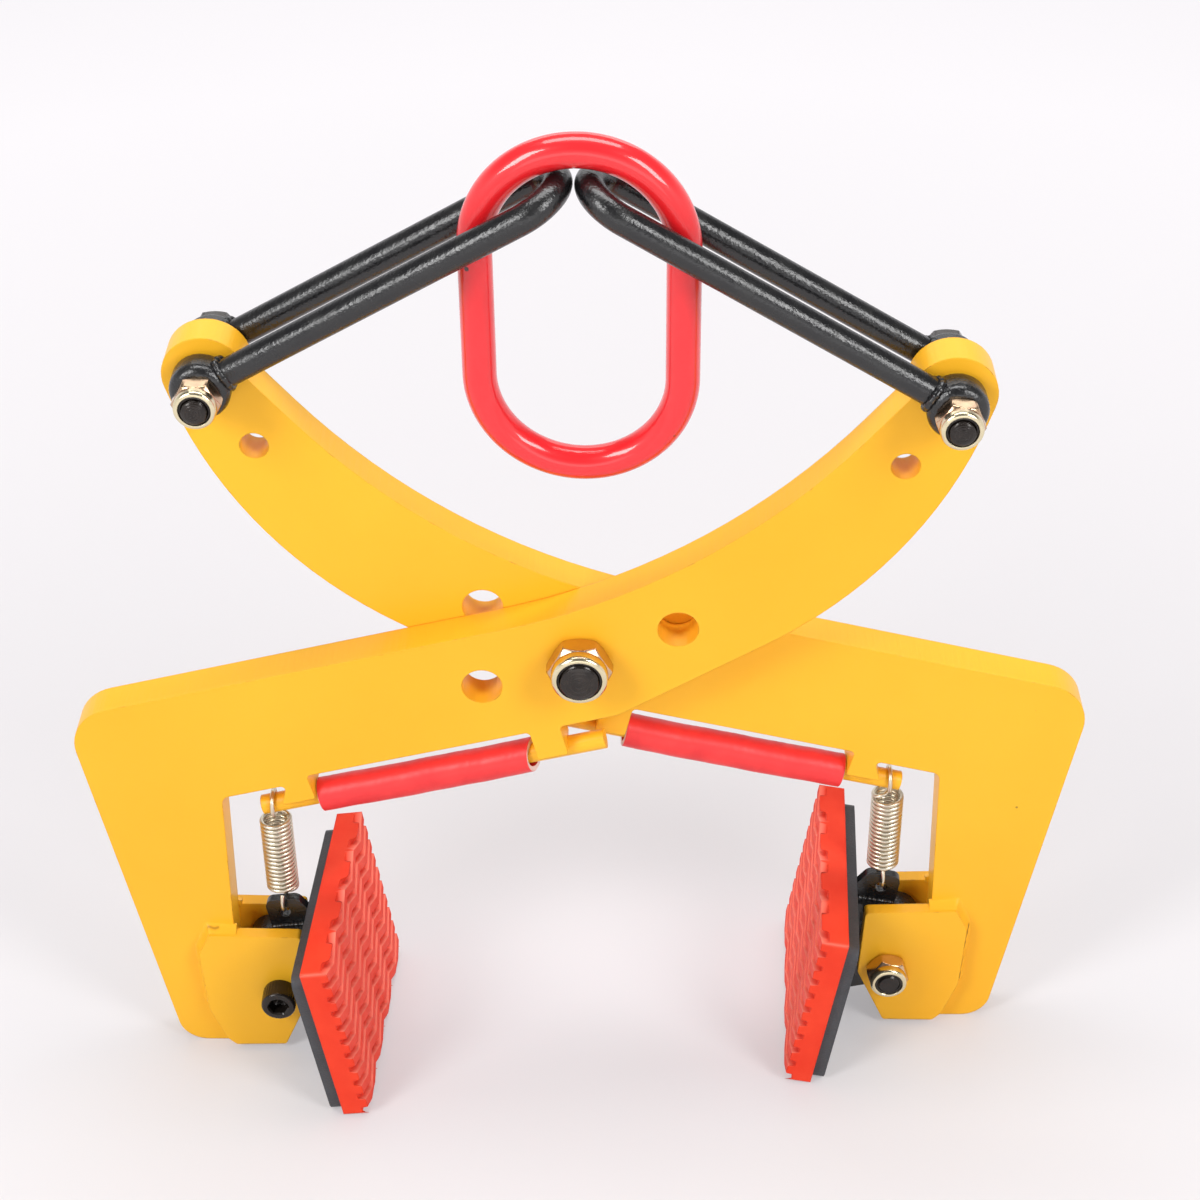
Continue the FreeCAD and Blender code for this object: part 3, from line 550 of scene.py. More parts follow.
@dataclass
class Studio:
    """Camera, floor and soft lights; glow is the floor's strength by distance, walls go from horizon to ceiling."""

    place: Point = (0.021, -0.826, 0.820)
    pitch: float = 35.14
    yaw: float = -0.88
    roll: float = 0.56
    focal_px: float = 2438.0
    image_px: float = 1200.0
    sensor_mm: float = 36.0
    floor_half: float = 9.0
    floor_color: Rgb = (0.58, 0.57, 0.58)
    seen_color: Rgb = (0.44, 0.425, 0.43)
    glow_color: Rgb = (0.99, 0.97, 1.0)
    glow: tuple[Span, ...] = ((0.22, 0.34), (1.1, 0.57), (1.6, 0.60), (4.0, 0.86))
    wall_color: Rgb = (0.98, 0.97, 1.0)
    wall_height: Span = (0.12, 0.55)
    wall_strength: Span = (1.0, 0.20)
    boxes: tuple[Softbox, ...] = (
        Softbox("left_box", (-1.15, -1.05, 1.35), (0.0, 0.0, 0.2), (0.55, 0.9), 19.0),
        Softbox("right_box", (1.15, -1.05, 1.35), (0.0, 0.0, 0.2), (0.55, 0.9), 17.0),
        Softbox("top_box", (0.0, 0.25, 1.9), (0.0, 0.0, 0.1), (1.5, 0.6), 19.0),
        Softbox("front_box", (0.0, -1.7, 0.45), (0.0, 0.0, 0.1), (1.6, 0.5), 2.5),
        Softbox("back_box", (0.0, 1.7, 1.3), (0.0, 0.0, 0.2), (1.8, 0.5), 5.0))

    def camera(self) -> None:
        """Camera at the photograph's place: pitched down, with small yaw and roll."""
        pitch, yaw, roll = (math.radians(a) for a in (self.pitch, self.yaw, self.roll))
        ahead = Vector((math.sin(yaw) * math.cos(pitch), math.cos(yaw) * math.cos(pitch), -math.sin(pitch)))
        right = Vector((math.cos(yaw), -math.sin(yaw), 0.0))
        down = ahead.cross(right)
        across = math.cos(roll) * right + math.sin(roll) * down
        below = -math.sin(roll) * right + math.cos(roll) * down
        lens = bpy.data.cameras.new("camera")
        lens.sensor_width = self.sensor_mm
        lens.lens = self.sensor_mm * self.focal_px / self.image_px
        camera = bpy.data.objects.new("camera", lens)
        turn = Matrix((across, -below, -ahead)).transposed().to_4x4()
        camera.matrix_world = Matrix.Translation(self.place) @ turn
        bpy.context.scene.collection.objects.link(camera)
        bpy.context.scene.camera = camera

    def floor(self) -> None:
        """Pale floor: bright to the camera and to reflections, brighter far out, but it keeps the shadow."""
        line = np.linspace(-self.floor_half, self.floor_half, 3)
        x, y = np.meshgrid(line, line, indexing="ij")
        floor = mesh_piece("floor", [Sheet(np.stack([x, y, np.zeros_like(x)], axis=-1), closed_columns=False)])
        material = bpy.data.materials.new("floor")
        material.use_nodes = True
        tree = material.node_tree
        tree.nodes.remove(tree.nodes["Principled BSDF"])
        lit = shader_node(tree, "BsdfDiffuse", {"Color": (*self.floor_color, 1.0)})
        seen = shader_node(tree, "BsdfDiffuse", {"Color": (*self.seen_color, 1.0)})
        place = shader_node(tree, "TexCoord").outputs["Object"]
        reach = shader_node(tree, "VectorMath", {0: place}, operation="LENGTH").outputs["Value"]
        share = shader_node(tree, "Math", {0: reach, 1: self.floor_half}, operation="DIVIDE").outputs[0]
        fade = shader_node(tree, "ValToRGB", {0: share})
        stops = fade.color_ramp.elements
        while len(stops) < len(self.glow):
            stops.new(0.5)
        for stop, (distance, strength) in zip(stops, self.glow):
            stop.position = distance / self.floor_half
            stop.color = (strength, strength, strength, 1.0)
        glow = shader_node(tree, "Emission", {"Color": (*self.glow_color, 1.0), "Strength": fade.outputs["Color"]})
        both = shader_node(tree, "AddShader", {0: seen.outputs[0], 1: glow.outputs[0]})
        mix = shader_node(tree, "MixShader", {0: self._looked_at(tree), 1: lit.outputs[0], 2: both.outputs[0]})
        tree.links.new(mix.outputs[0], tree.nodes["Material Output"].inputs["Surface"])
        floor.data.materials.append(material)

    @staticmethod
    def _looked_at(tree: Tree) -> Socket:
        """One for camera, glossy and transmission rays."""
        rays = shader_node(tree, "LightPath").outputs
        total = rays["Is Camera Ray"]
        for name in ("Is Glossy Ray", "Is Transmission Ray"):
            total = shader_node(tree, "Math", {0: total, 1: rays[name]}, operation="MAXIMUM").outputs[0]
        return total

    def world(self) -> None:
        """Studio room: white walls at the horizon that fall off to a dim ceiling, the same for every ray."""
        world = bpy.data.worlds.new("room")
        bpy.context.scene.world = world
        world.use_nodes = True
        tree = world.node_tree
        fill = tree.nodes["Background"]
        fill.inputs["Color"].default_value = (*self.wall_color, 1.0)
        ray = shader_node(tree, "TexCoord").outputs["Generated"]
        height = shader_node(tree, "SeparateXYZ", {0: ray}).outputs["Z"]
        (low, high), (horizon, ceiling) = self.wall_height, self.wall_strength
        level = shader_node(tree, "MapRange", {"Value": height, "From Min": low, "From Max": high, "To Min": horizon,
                                               "To Max": ceiling}, interpolation_type="SMOOTHSTEP")
        tree.links.new(level.outputs["Result"], fill.inputs["Strength"])

    def build(self) -> None:
        """Everything that isn't the object."""
        self.camera()
        self.floor()
        self.world()
        for box in self.boxes:
            box.build()
        bpy.context.scene.view_settings.view_transform = "Standard"


@dataclass
class Thread:
    """A bolt size in millimetres."""

    diameter: float
    across: float
    nut_height: float
    collar: float
    head: float
    pitch: float


M16 = Thread(16.0, 24.0, 10.0, 4.6, 10.0, 2.0)
M10 = Thread(10.0, 17.0, 8.0, 3.6, 6.4, 1.5)


@dataclass
class Fasteners:
    """Nuts, bolts and cap screws on the places of the CAD ones, in millimetres and in shares of a bolt's size."""

    sides: int = 96
    crown: float = 42.0
    crown_share: float = 0.465
    crease: float = 30.0
    collar_share: float = 0.49
    lip_share: float = 0.45
    bore_gap: float = 0.05
    insert_wall: float = 1.1
    insert_depth: float = 1.2
    insert_edge: float = 0.3
    seal_drop: float = 0.6
    seal_crest: tuple[float, float] = (0.4, 0.5)
    tip_share: float = 0.80
    tip_dish: float = 0.35
    tip_rim: tuple[float, float] = (0.75, 0.84)
    tip_chamfer: float = 1.35
    ring_depth: float = 0.13
    ring_pitch: float = 0.27
    ring_start: float = 0.15
    thread_start: float = 1.5
    thread_turns: float = 3.0
    thread_end: float = 0.3
    thread_depth: float = 0.45
    flush: float = 2.5
    cap_radius: float = 7.7
    cap_height: float = 10.0
    cap_edge: float = 1.2
    cap_relief: float = 0.2
    socket: float = 8.0
    socket_rows: tuple[Row, ...] = ((6.6, 0.0, False), (6.2, 3.6, False), (5.6, 9.0, True), (0.7, 9.0, True),
                                    (0.0, 4.96, False))
    shank: float = 5.0
    shank_edge: float = 0.8
    knurl_end: float = 0.6
    knurl_depth: float = 0.10
    knurl_teeth: float = 32.0
    link_nut_turn: float = 0.12
    pad_nut_turn: float = 0.2

    @property
    def steep(self) -> float:
        """Slope of the cone that turns a hexagon's corners."""
        return math.tan(math.radians(self.crown))

    @staticmethod
    def end(name: str, outward: float) -> tuple[Array, float]:
        """Point on a node's axis at its end toward plus or minus Y, and the node's length in millimetres."""
        low, high = node_box(name)
        centre = (low + high) / 2.0
        centre[1] = high[1] if outward > 0 else low[1]
        return centre, (high[1] - low[1]) / MM

    def hexagon(self, across: float, turn: float) -> Array:
        """Distance of a hexagon's rim at each angle: half across flats over the cosine from the flat's middle."""
        step = math.pi / 3.0
        off = np.mod(around(self.sides) + turn, step) - step / 2.0
        return across / 2.0 / np.cos(off)

    def rows(self, profile: list[Row], across: float, turn: float) -> tuple[Array, Array]:
        """Profile rows as arrays, with the rows marked as hexagon cut to the hexagon's rim.

        Args:
            profile: Along, radius and hexagon mark of each row, in millimetres.
            across: Size across the flats.
            turn: Turn of the hexagon in radians.

        Returns:
            Along in metres, and radius in metres at each angle.
        """
        along, radius, flats = (np.array(column, float) for column in zip(*profile))
        limit = np.where(flats[:, None] > 0.5, self.hexagon(across, turn)[None, :], np.inf)
        return along * MM, np.minimum(radius[:, None], limit) * MM

    def nut(self, name: str, body: str, size: Thread, outward: float, turn: float = 0.0) -> None:
        """Self-locking nut: hexagon with turned corners, paler collar rolled over a ring, bored for the bolt.

        Args:
            name: CAD node that it stands for.
            body: Body that it rides on.
            size: Bolt size.
            outward: Sign of Y away from its seat.
            turn: Turn of the hexagon in radians.
        """
        centre, _ = self.end(name, -outward)
        a, h, c, bore = size.across, size.nut_height, size.collar, size.diameter / 2.0 + self.bore_gap
        r, lip, face, steep = a * self.collar_share, c * self.lip_share, a * self.crown_share, self.steep
        reach = (a / math.sqrt(3.0) - face) * steep
        rows = np.concatenate([np.linspace(0.0, reach, 7), np.linspace(h - reach, h - (r - face) * steep, 7)])
        cone = face + np.minimum(rows, h - rows) / steep
        insert, top = bore + self.insert_wall, h + c
        floor, brim = top - self.insert_depth, top - self.seal_drop
        profile = [(0.0, bore, False)] + [(row, limit, True) for row, limit in zip(rows, cone)]
        profile += [(*row, False) for row in arc_rows((top - lip, r - lip), lip, 90.0, 0.0, 9)]
        profile += [(top, insert + self.insert_edge, False), (top - self.insert_edge, insert, False),
                    (floor, insert, False), (floor, bore, False)]
        axis = np.array((0.0, outward, 0.0))
        along, radius = self.rows(profile, a, turn)
        grid = lathe(along, radius, centre, axis, self.sides)
        rolled = np.repeat((np.arange(len(along)) > len(rows))[:, None], self.sides, axis=1)
        turned = mesh_piece(name + "_turned", [Sheet(grid, closed_rows=True, mark=rolled)], self.crease)
        ZINC.dress(turned, body, name)
        drop, inset = self.seal_crest
        seal = np.array(((floor, bore), (brim, bore), (top - drop, bore + inset), (brim, insert),
                         (floor, insert))) * MM
        grid = lathe(seal[:, 0], seal[:, 1], centre, axis, self.sides)
        BLACK_OXIDE.dress(mesh_piece(name + "_insert", [Sheet(grid, closed_rows=True)]), body)

    def bolt(self, name: str, body: str, size: Thread, turn: float = 0.0) -> None:
        """Hexagon bolt with its threaded tip in front: threads are a sawtooth wound once round per pitch.

        Args:
            name: CAD node that it stands for.
            body: Body that it rides on.
            size: Bolt size.
            turn: Turn of the head's hexagon in radians.
        """
        centre, length = self.end(name, -1.0)
        a, r, head, crest = size.across, size.diameter / 2.0, size.head, size.diameter / 2.0 - self.bore_gap
        tip = np.linspace(0.0, r * self.tip_share, 40)
        rings = self.ring_depth * np.cos(tip * 2.0 * math.pi / (r * self.ring_pitch)) * (tip > r * self.ring_start)
        dish = self.tip_dish + self.tip_dish * (tip / r) ** 2 + rings
        profile = [(along, radius, False) for along, radius in zip(dish, tip)]
        profile += [(self.tip_rim[0], r * self.tip_rim[1], False), (self.tip_chamfer, crest, False)]
        wound = np.linspace(self.thread_start, self.thread_start + size.pitch * self.thread_turns, 24)
        profile += [(along, crest, False) for along in wound]
        profile += [(wound[-1] + self.thread_end, r, False), (length - head, r, False)]
        face, steep = a * self.crown_share, self.steep
        rows = np.concatenate([[0.0], head - np.linspace((a / math.sqrt(3.0) - face) * steep, 0.0, 8)])
        profile += [(length - head + row, face + (head - row) / steep, True) for row in rows]
        profile += [(length, 0.0, False)]
        along, radius = self.rows(profile, a, turn)
        turns = around(self.sides)[None, :] / (2.0 * math.pi)
        saw = np.abs(np.mod(along[:, None] / MM / size.pitch - turns, 1.0) - 0.5) * 2.0
        cut = ((along >= self.thread_start * MM) & (along <= wound[-1] * MM) & (radius[:, 0] < r * MM))[:, None]
        radius = radius - np.where(cut, saw * size.pitch * self.thread_depth * MM, 0.0)
        grid = lathe(along, radius, centre, np.array((0.0, 1.0, 0.0)), self.sides)
        BLACK_OXIDE.dress(mesh_piece(name + "_turned", [Sheet(grid)], self.crease), body, name)

    def cap_screw(self, name: str, body: str, outward: float) -> None:
        """Socket head cap screw: knurled head with a hexagon socket, plain shank.

        Args:
            name: CAD node that it stands for.
            body: Body that it rides on.
            outward: Sign of Y in which its head looks.
        """
        centre, length = self.end(name, outward)
        length = length - self.flush
        r, head, edge, shank = self.cap_radius, self.cap_height, self.cap_edge, self.shank
        profile = [*self.socket_rows, (0.0, r - edge, False)]
        profile += [(*row, False) for row in arc_rows((edge, r - edge), edge, 180.0, 90.0, 6)]
        knurl = np.linspace(edge + self.cap_relief, head - self.knurl_end, 4)
        profile += [(along, r, False) for along in knurl]
        profile += [(head, r - self.cap_relief, False), (head, shank, False), (length - self.shank_edge, shank, False),
                    (length, shank - self.shank_edge, False), (length, 0.0, False)]
        along, radius = self.rows(profile, self.socket, 0.0)
        teeth = ((along >= knurl[0] * MM - TINY) & (along <= knurl[-1] * MM + TINY))[:, None]
        wave = np.cos(around(self.sides) * self.knurl_teeth)[None, :]
        radius = radius + np.where(teeth, self.knurl_depth * MM * wave, 0.0)
        grid = lathe(along, radius, centre, np.array((0.0, -outward, 0.0)), self.sides)
        BLACK_OXIDE.dress(mesh_piece(name + "_turned", [Sheet(grid)], self.crease), body, name)

    def build(self) -> None:
        """All fasteners of the tongs."""
        self.nut("pivot_nut", "pivot", M16, -1.0)
        self.bolt("pivot_bolt", "pivot", M16)
        for side in Side:
            turn = 0.0 if side is Side.LEFT else self.link_nut_turn
            self.nut(side.node("link_nut"), side.link_arm, M10, -1.0, turn)
            self.bolt(side.node("link_bolt"), side.link_arm, M10)
            away = 1.0 if side is Side.LEFT else -1.0
            self.nut(side.node("pad_nut"), side.arm, M10, away, self.pad_nut_turn)
            self.cap_screw(side.node("pad_bolt"), side.arm, -away)


@dataclass
class Ring:
    """Oblong lifting ring, a bent and welded round bar."""

    wire: float = 13.5
    inner_width: float = 65.7
    inner_height: float = 120.8
    yaw: float = -3.2

    def path(self, count: int = 220) -> Array:
        """Stadium in the XZ plane: two half circles joined by straight runs, points evenly spaced along it."""
        half = (self.inner_width + self.wire) / 2.0
        straight = self.inner_height - self.inner_width
        total = 2.0 * (straight + math.pi * half)
        run = np.linspace(0.0, total, count, endpoint=False)
        lap = np.mod(run, total / 2.0)
        angle = np.clip((lap - straight) / half, 0.0, math.pi)
        x = -half * np.cos(angle)
        z = np.minimum(lap, straight) - straight / 2.0 + half * np.sin(angle)
        sign = np.where(run < total / 2.0, 1.0, -1.0)
        return np.stack([sign * x, np.zeros_like(x), sign * z], axis=-1) * MM

    def build(self) -> None:
        """The ring, turned a little and set where the CAD ring hangs."""
        low, high = node_box("lifting_ring")
        path = self.path()
        c, s = math.cos(math.radians(self.yaw)), math.sin(math.radians(self.yaw))
        flat = tube(path, self.wire / 2.0 * MM, 48, np.array((0.0, 1.0, 0.0)), closed=True)
        spin = np.array([[c, -s, 0.0], [s, c, 0.0], [0.0, 0.0, 1.0]])
        grid = flat @ spin.T + (low + high) / 2.0
        RED_PAINT.dress(mesh_piece("ring_bar", [Sheet(grid, closed_rows=True)]), "ring", "lifting_ring")


@dataclass
class Links:
    """U-bent rods with welded eyes."""

    rod: float = 11.5
    angle: float = 30.4
    eye: float = 24.0
    eye_width: float = 15.0
    eye_lip: float = 4.2
    root: float = 9.0
    bend: float = 15.5
    offset: float = 7.5
    length: float = 161.517
    face_gap: float = 0.3
    plate: float = 16.0
    bore: float = 5.05
    bead: float = 1.5
    bead_rod: float = 0.2
    bead_eye: float = 0.3

    @property
    def leg_y(self) -> float:
        """Distance of a leg from the middle of its arm's plate at the eye."""
        return self.plate / 2.0 + self.face_gap + self.eye_width / 2.0

    def outline(self) -> Array:
        """Middle line of the rod as (along, across): a leg, the bend and the other leg, both tangents of the bend."""
        centre = self.length - self.bend
        ends = []
        for sign in (-1.0, 1.0):
            drop = sign * self.offset - self.leg_y
            lean = math.atan2(drop, centre) + math.asin(self.bend / math.hypot(centre, drop))
            root = np.array((self.root, sign * (self.leg_y + self.root * math.tan(lean))))
            ends.append((root, lean))
        (root_a, lean_a), (root_b, lean_b) = ends
        angle = np.linspace(-math.pi / 2.0 - lean_a, math.pi / 2.0 + lean_b, 40)
        bend = np.stack([centre + self.bend * np.cos(angle), self.offset + self.bend * np.sin(angle)], axis=-1)
        part = np.linspace(0.0, 1.0, 24, endpoint=False)[:, None]
        leg_a = root_a + (bend[0] - root_a) * part
        leg_b = bend[-1] + (root_b - bend[-1]) * part[1:]
        return np.concatenate([leg_a, bend, leg_b, root_b[None, :]])

    def build(self, side: Side, joints: dict[str, dict]) -> None:
        """Rod, eyes and their welds on one side.

        Args:
            side: Which side.
            joints: Joints of the frame by name.
        """
        place = np.array(joints["right_link_eye"]["pos_m"])
        tilt = math.radians(self.angle)
        run = np.array((-math.cos(tilt), 0.0, math.sin(tilt)))
        rise = np.array((math.sin(tilt), 0.0, math.cos(tilt)))
        depth = np.array((0.0, 1.0, 0.0))
        body = side.node("link")
        finish = half_turn if side is Side.LEFT else np.asarray
        line = self.outline() * MM
        path = place + line[:, :1] * run + line[:, 1:] * depth
        rod = tube(path, self.rod / 2.0 * MM, 36, rise)
        BLACK_COAT.dress(mesh_piece(side.node("link_rod"), [Sheet(finish(rod))]), body, side.node("link"))
        for name, sign in (("link_eye_outer", -1.0), ("link_eye_inner", 1.0)):
            middle = place + depth * sign * self.leg_y * MM
            half, r, lip = self.eye_width / 2.0, self.eye / 2.0, self.eye_lip
            profile = np.concatenate([
                [(-half, self.bore)], arc_rows((-half + lip, r - lip), lip, 180.0, 90.0, 10),
                arc_rows((half - lip, r - lip), lip, 90.0, 0.0, 10), [(half, self.bore)]]) * MM
            barrel = lathe(profile[:, 0], profile[:, 1], middle, depth, 64)
            BLACK_COAT.dress(mesh_piece(side.node(name) + "_barrel", [Sheet(finish(barrel), closed_rows=True)]), body,
                             side.node(name))
            self.weld(side, name, middle, run, rise, depth, finish)

    def weld(self, side: Side, name: str, middle: Array, run: Array, rise: Array, depth: Array,
             finish: Callable[[Array], Array]) -> None:
        """Bead round the rod where it meets the eye: the meeting line of two cylinders, with a rippled tube on it.

        Args:
            side: Which side.
            name: Eye that it belongs to.
            middle: Middle of the eye.
            run: Direction of the rod.
            rise: Direction square to the rod, in the plane of the eye.
            depth: Direction of the eye's bore.
            finish: Turn to this side's place.
        """
        angle = around(72)
        r = self.rod / 2.0 + self.bead_rod
        up, over = r * np.sin(angle), r * np.cos(angle)
        out = np.sqrt((self.eye / 2.0 + self.bead_eye) ** 2 - up ** 2)
        path = middle + (out[:, None] * run + up[:, None] * rise + over[:, None] * depth) * MM
        bead = self.bead + ripple(angle, (0.16, 2.0 * math.pi / 14.0, 0.4), (0.12, 2.0 * math.pi / 3.0, 1.0))
        grid = tube(path, bead * MM, 14, run, closed=True)
        BLACK_COAT.dress(mesh_piece(side.node(name) + "_weld", [Sheet(finish(grid), closed_rows=True)]),
                         side.node("link"))


@dataclass
class Hose:
    """Cut length of hose hanging loose on a bumper rod; oval and crease are shares of the radius."""

    outer: float = 15.0
    bore: float = 10.6
    slope: float = 13.8
    lift: float = 0.5
    bow: float = 0.4
    cut_edge: float = 0.35
    skew: float = 4.5
    oval: float = 0.012
    oval_turn: float = 9.0
    crease: float = 0.005
    crease_turn: float = 1.15
    rows: int = 150

    def build(self, side: Side) -> None:
        """Hose on one side: a ring section carried along a line that bows and lies a little askew on its rod.

        The section is a little oval, and faint creases run over its top: sines along it that wander with the angle.
        The left one is cut askew at its inner end, so that its front is shorter than its back.

        Args:
            side: Which side.
        """
        node = side.node("bumper_hose")
        low, high = node_box(node)
        sign = 1.0 if side is Side.LEFT else -1.0
        tilt = math.radians(self.slope)
        r, inner, edge = self.outer / 2.0 * MM, self.bore / 2.0 * MM, self.cut_edge * MM
        length = (high[0] - low[0] - 2.0 * r * math.sin(tilt)) / math.cos(tilt)
        run = np.array((math.cos(tilt) * sign, 0.0, math.sin(tilt)))
        rise = np.array((-math.sin(tilt) * sign, 0.0, math.cos(tilt)))
        half, rows = length / 2.0, self.rows
        straight = np.linspace(-half + edge, half - edge, rows)
        along = np.concatenate([[-half], straight, [half, half], straight[::-1], [-half]])
        radius = np.concatenate([[r - edge], np.full(rows, r), [r - edge, inner], np.full(rows, inner), [inner]])
        cut = np.concatenate([[1.0], np.zeros(rows), [1.0, 1.0], np.zeros(rows), [1.0]])
        part = along / length
        wave = ripple(along, (0.10, 0.041, 0.7), (0.06, 0.017, 2.0))
        offset = (self.lift * (0.5 - part) - self.bow * (1.0 - 4.0 * part ** 2) + wave) * MM
        angle = around(48)
        oval = 1.0 + self.oval * np.cos(2.0 * angle)[None, :] * np.cos(part * self.oval_turn)[:, None]
        phase = along[:, None] / MM * self.crease_turn + 1.3 * np.sin(3.0 * angle)[None, :]
        crease = np.sin(phase + 2.0 * np.sin(along * 310.0)[:, None])
        upper = np.clip(np.cos(angle), 0.0, 1.0)[None, :] ** 2
        oval = oval + self.crease * crease * upper * (radius > inner)[:, None]
        spoke = np.cos(angle)[:, None] * rise + np.sin(angle)[:, None] * np.array((0.0, 1.0, 0.0))
        line = (low + high) / 2.0 + along[:, None] * run + offset[:, None] * rise
        grid = line[:, None, :] + (radius[:, None] * oval)[:, :, None] * spoke[None, :, :]
        near = np.clip(part * 4.0 - 1.0, 0.0, 1.0) * (self.skew if side is Side.LEFT else 0.0) * MM
        grid = grid - (near[:, None] * (0.5 - 0.5 * np.sin(angle)))[:, :, None] * run
        mark = np.repeat(cut[:, None], len(angle), axis=1)
        sleeve = mesh_piece(side.node("hose_sleeve"), [Sheet(grid, closed_rows=True, mark=mark)])
        HOSE_RUBBER.dress(sleeve, side.arm, node)


@dataclass
class Spring:
    """Extension spring between a rod's end and a pad's tab."""

    wire: float = 1.9
    outside: float = 15.0
    turns: int = 17
    hook: float = 6.0
    neck: tuple[float, float] = (1.0, 2.6)
    hook_turn: float = 315.0

    def path(self, low: float, high: float) -> Array:
        """Wire's line about the spring's axis: hook, half turn out, helix, half turn in, hook.

        Args:
            low: Height of the lower hook's middle line at its lowest.
            high: Height of the upper hook's middle line at its highest.

        Returns:
            Points about the axis, smoothed over a short stretch where the pieces join.
        """
        mean = (self.outside - self.wire) / 2.0 * MM
        hook = self.hook * MM
        foot, crest = low + 2.0 * hook, high - 2.0 * hook
        base, top = foot + self.neck[0] * MM, crest - self.neck[1] * MM
        turn = np.radians(np.linspace(0.0, self.hook_turn, 46))
        half = np.linspace(0.0, math.pi, 14)
        wound = np.linspace(0.0, 2.0 * math.pi * self.turns, 30 * self.turns)

        def line(x: Array, y: Array, z: Array) -> Array:
            """Points from three columns."""
            return np.stack(np.broadcast_arrays(x, y, z), axis=-1)

        zero, blend = np.zeros_like, 0.5 - 0.5 * np.cos(half)
        first = line(zero(turn), hook * np.sin(turn), foot - hook * (1.0 - np.cos(turn)))[::-1]
        out = line(mean / 2.0 * (1.0 - np.cos(half)), -mean / 2.0 * np.sin(half), foot + (base - foot) * blend)
        coil = line(mean * np.cos(wound), mean * np.sin(wound), base + (top - base) * wound / wound[-1])
        back = line(mean / 2.0 * (1.0 + np.cos(half)), mean / 2.0 * np.sin(half), top + (crest - top) * blend)
        last = line(zero(turn), -hook * np.sin(turn), crest + hook * (1.0 - np.cos(turn)))
        whole = np.concatenate([first, out[1:], coil[1:], back[1:], last[1:]])
        soft = whole.copy()
        soft[2:-2] = (whole[:-4] + whole[1:-3] + whole[2:-2] + whole[3:-1] + whole[4:]) / 5.0
        return soft

    def build(self, side: Side) -> None:
        """Spring of one side, between its arm and its pad.

        Args:
            side: Which side.
        """
        node = side.node("spring")
        low, high = node_box(node)
        r = self.wire / 2.0 * MM
        path = self.path(low[2] + r, high[2] - r)
        middle = (low + high) / 2.0
        turned = half_turn(path) if side is Side.RIGHT else path
        turned = turned + np.array((middle[0], middle[1], 0.0))
        grid = tube(turned, r, 12, unit(np.array((1.0, 0.0, 1.0))))
        piece = mesh_piece(side.node("coil"), [Sheet(grid)])
        piece.data.materials.append(SPRING_ZINC.material())
        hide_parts(node)
        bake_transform(piece)
        LOG.info("%s between %s and its pad", piece.name, side.arm)


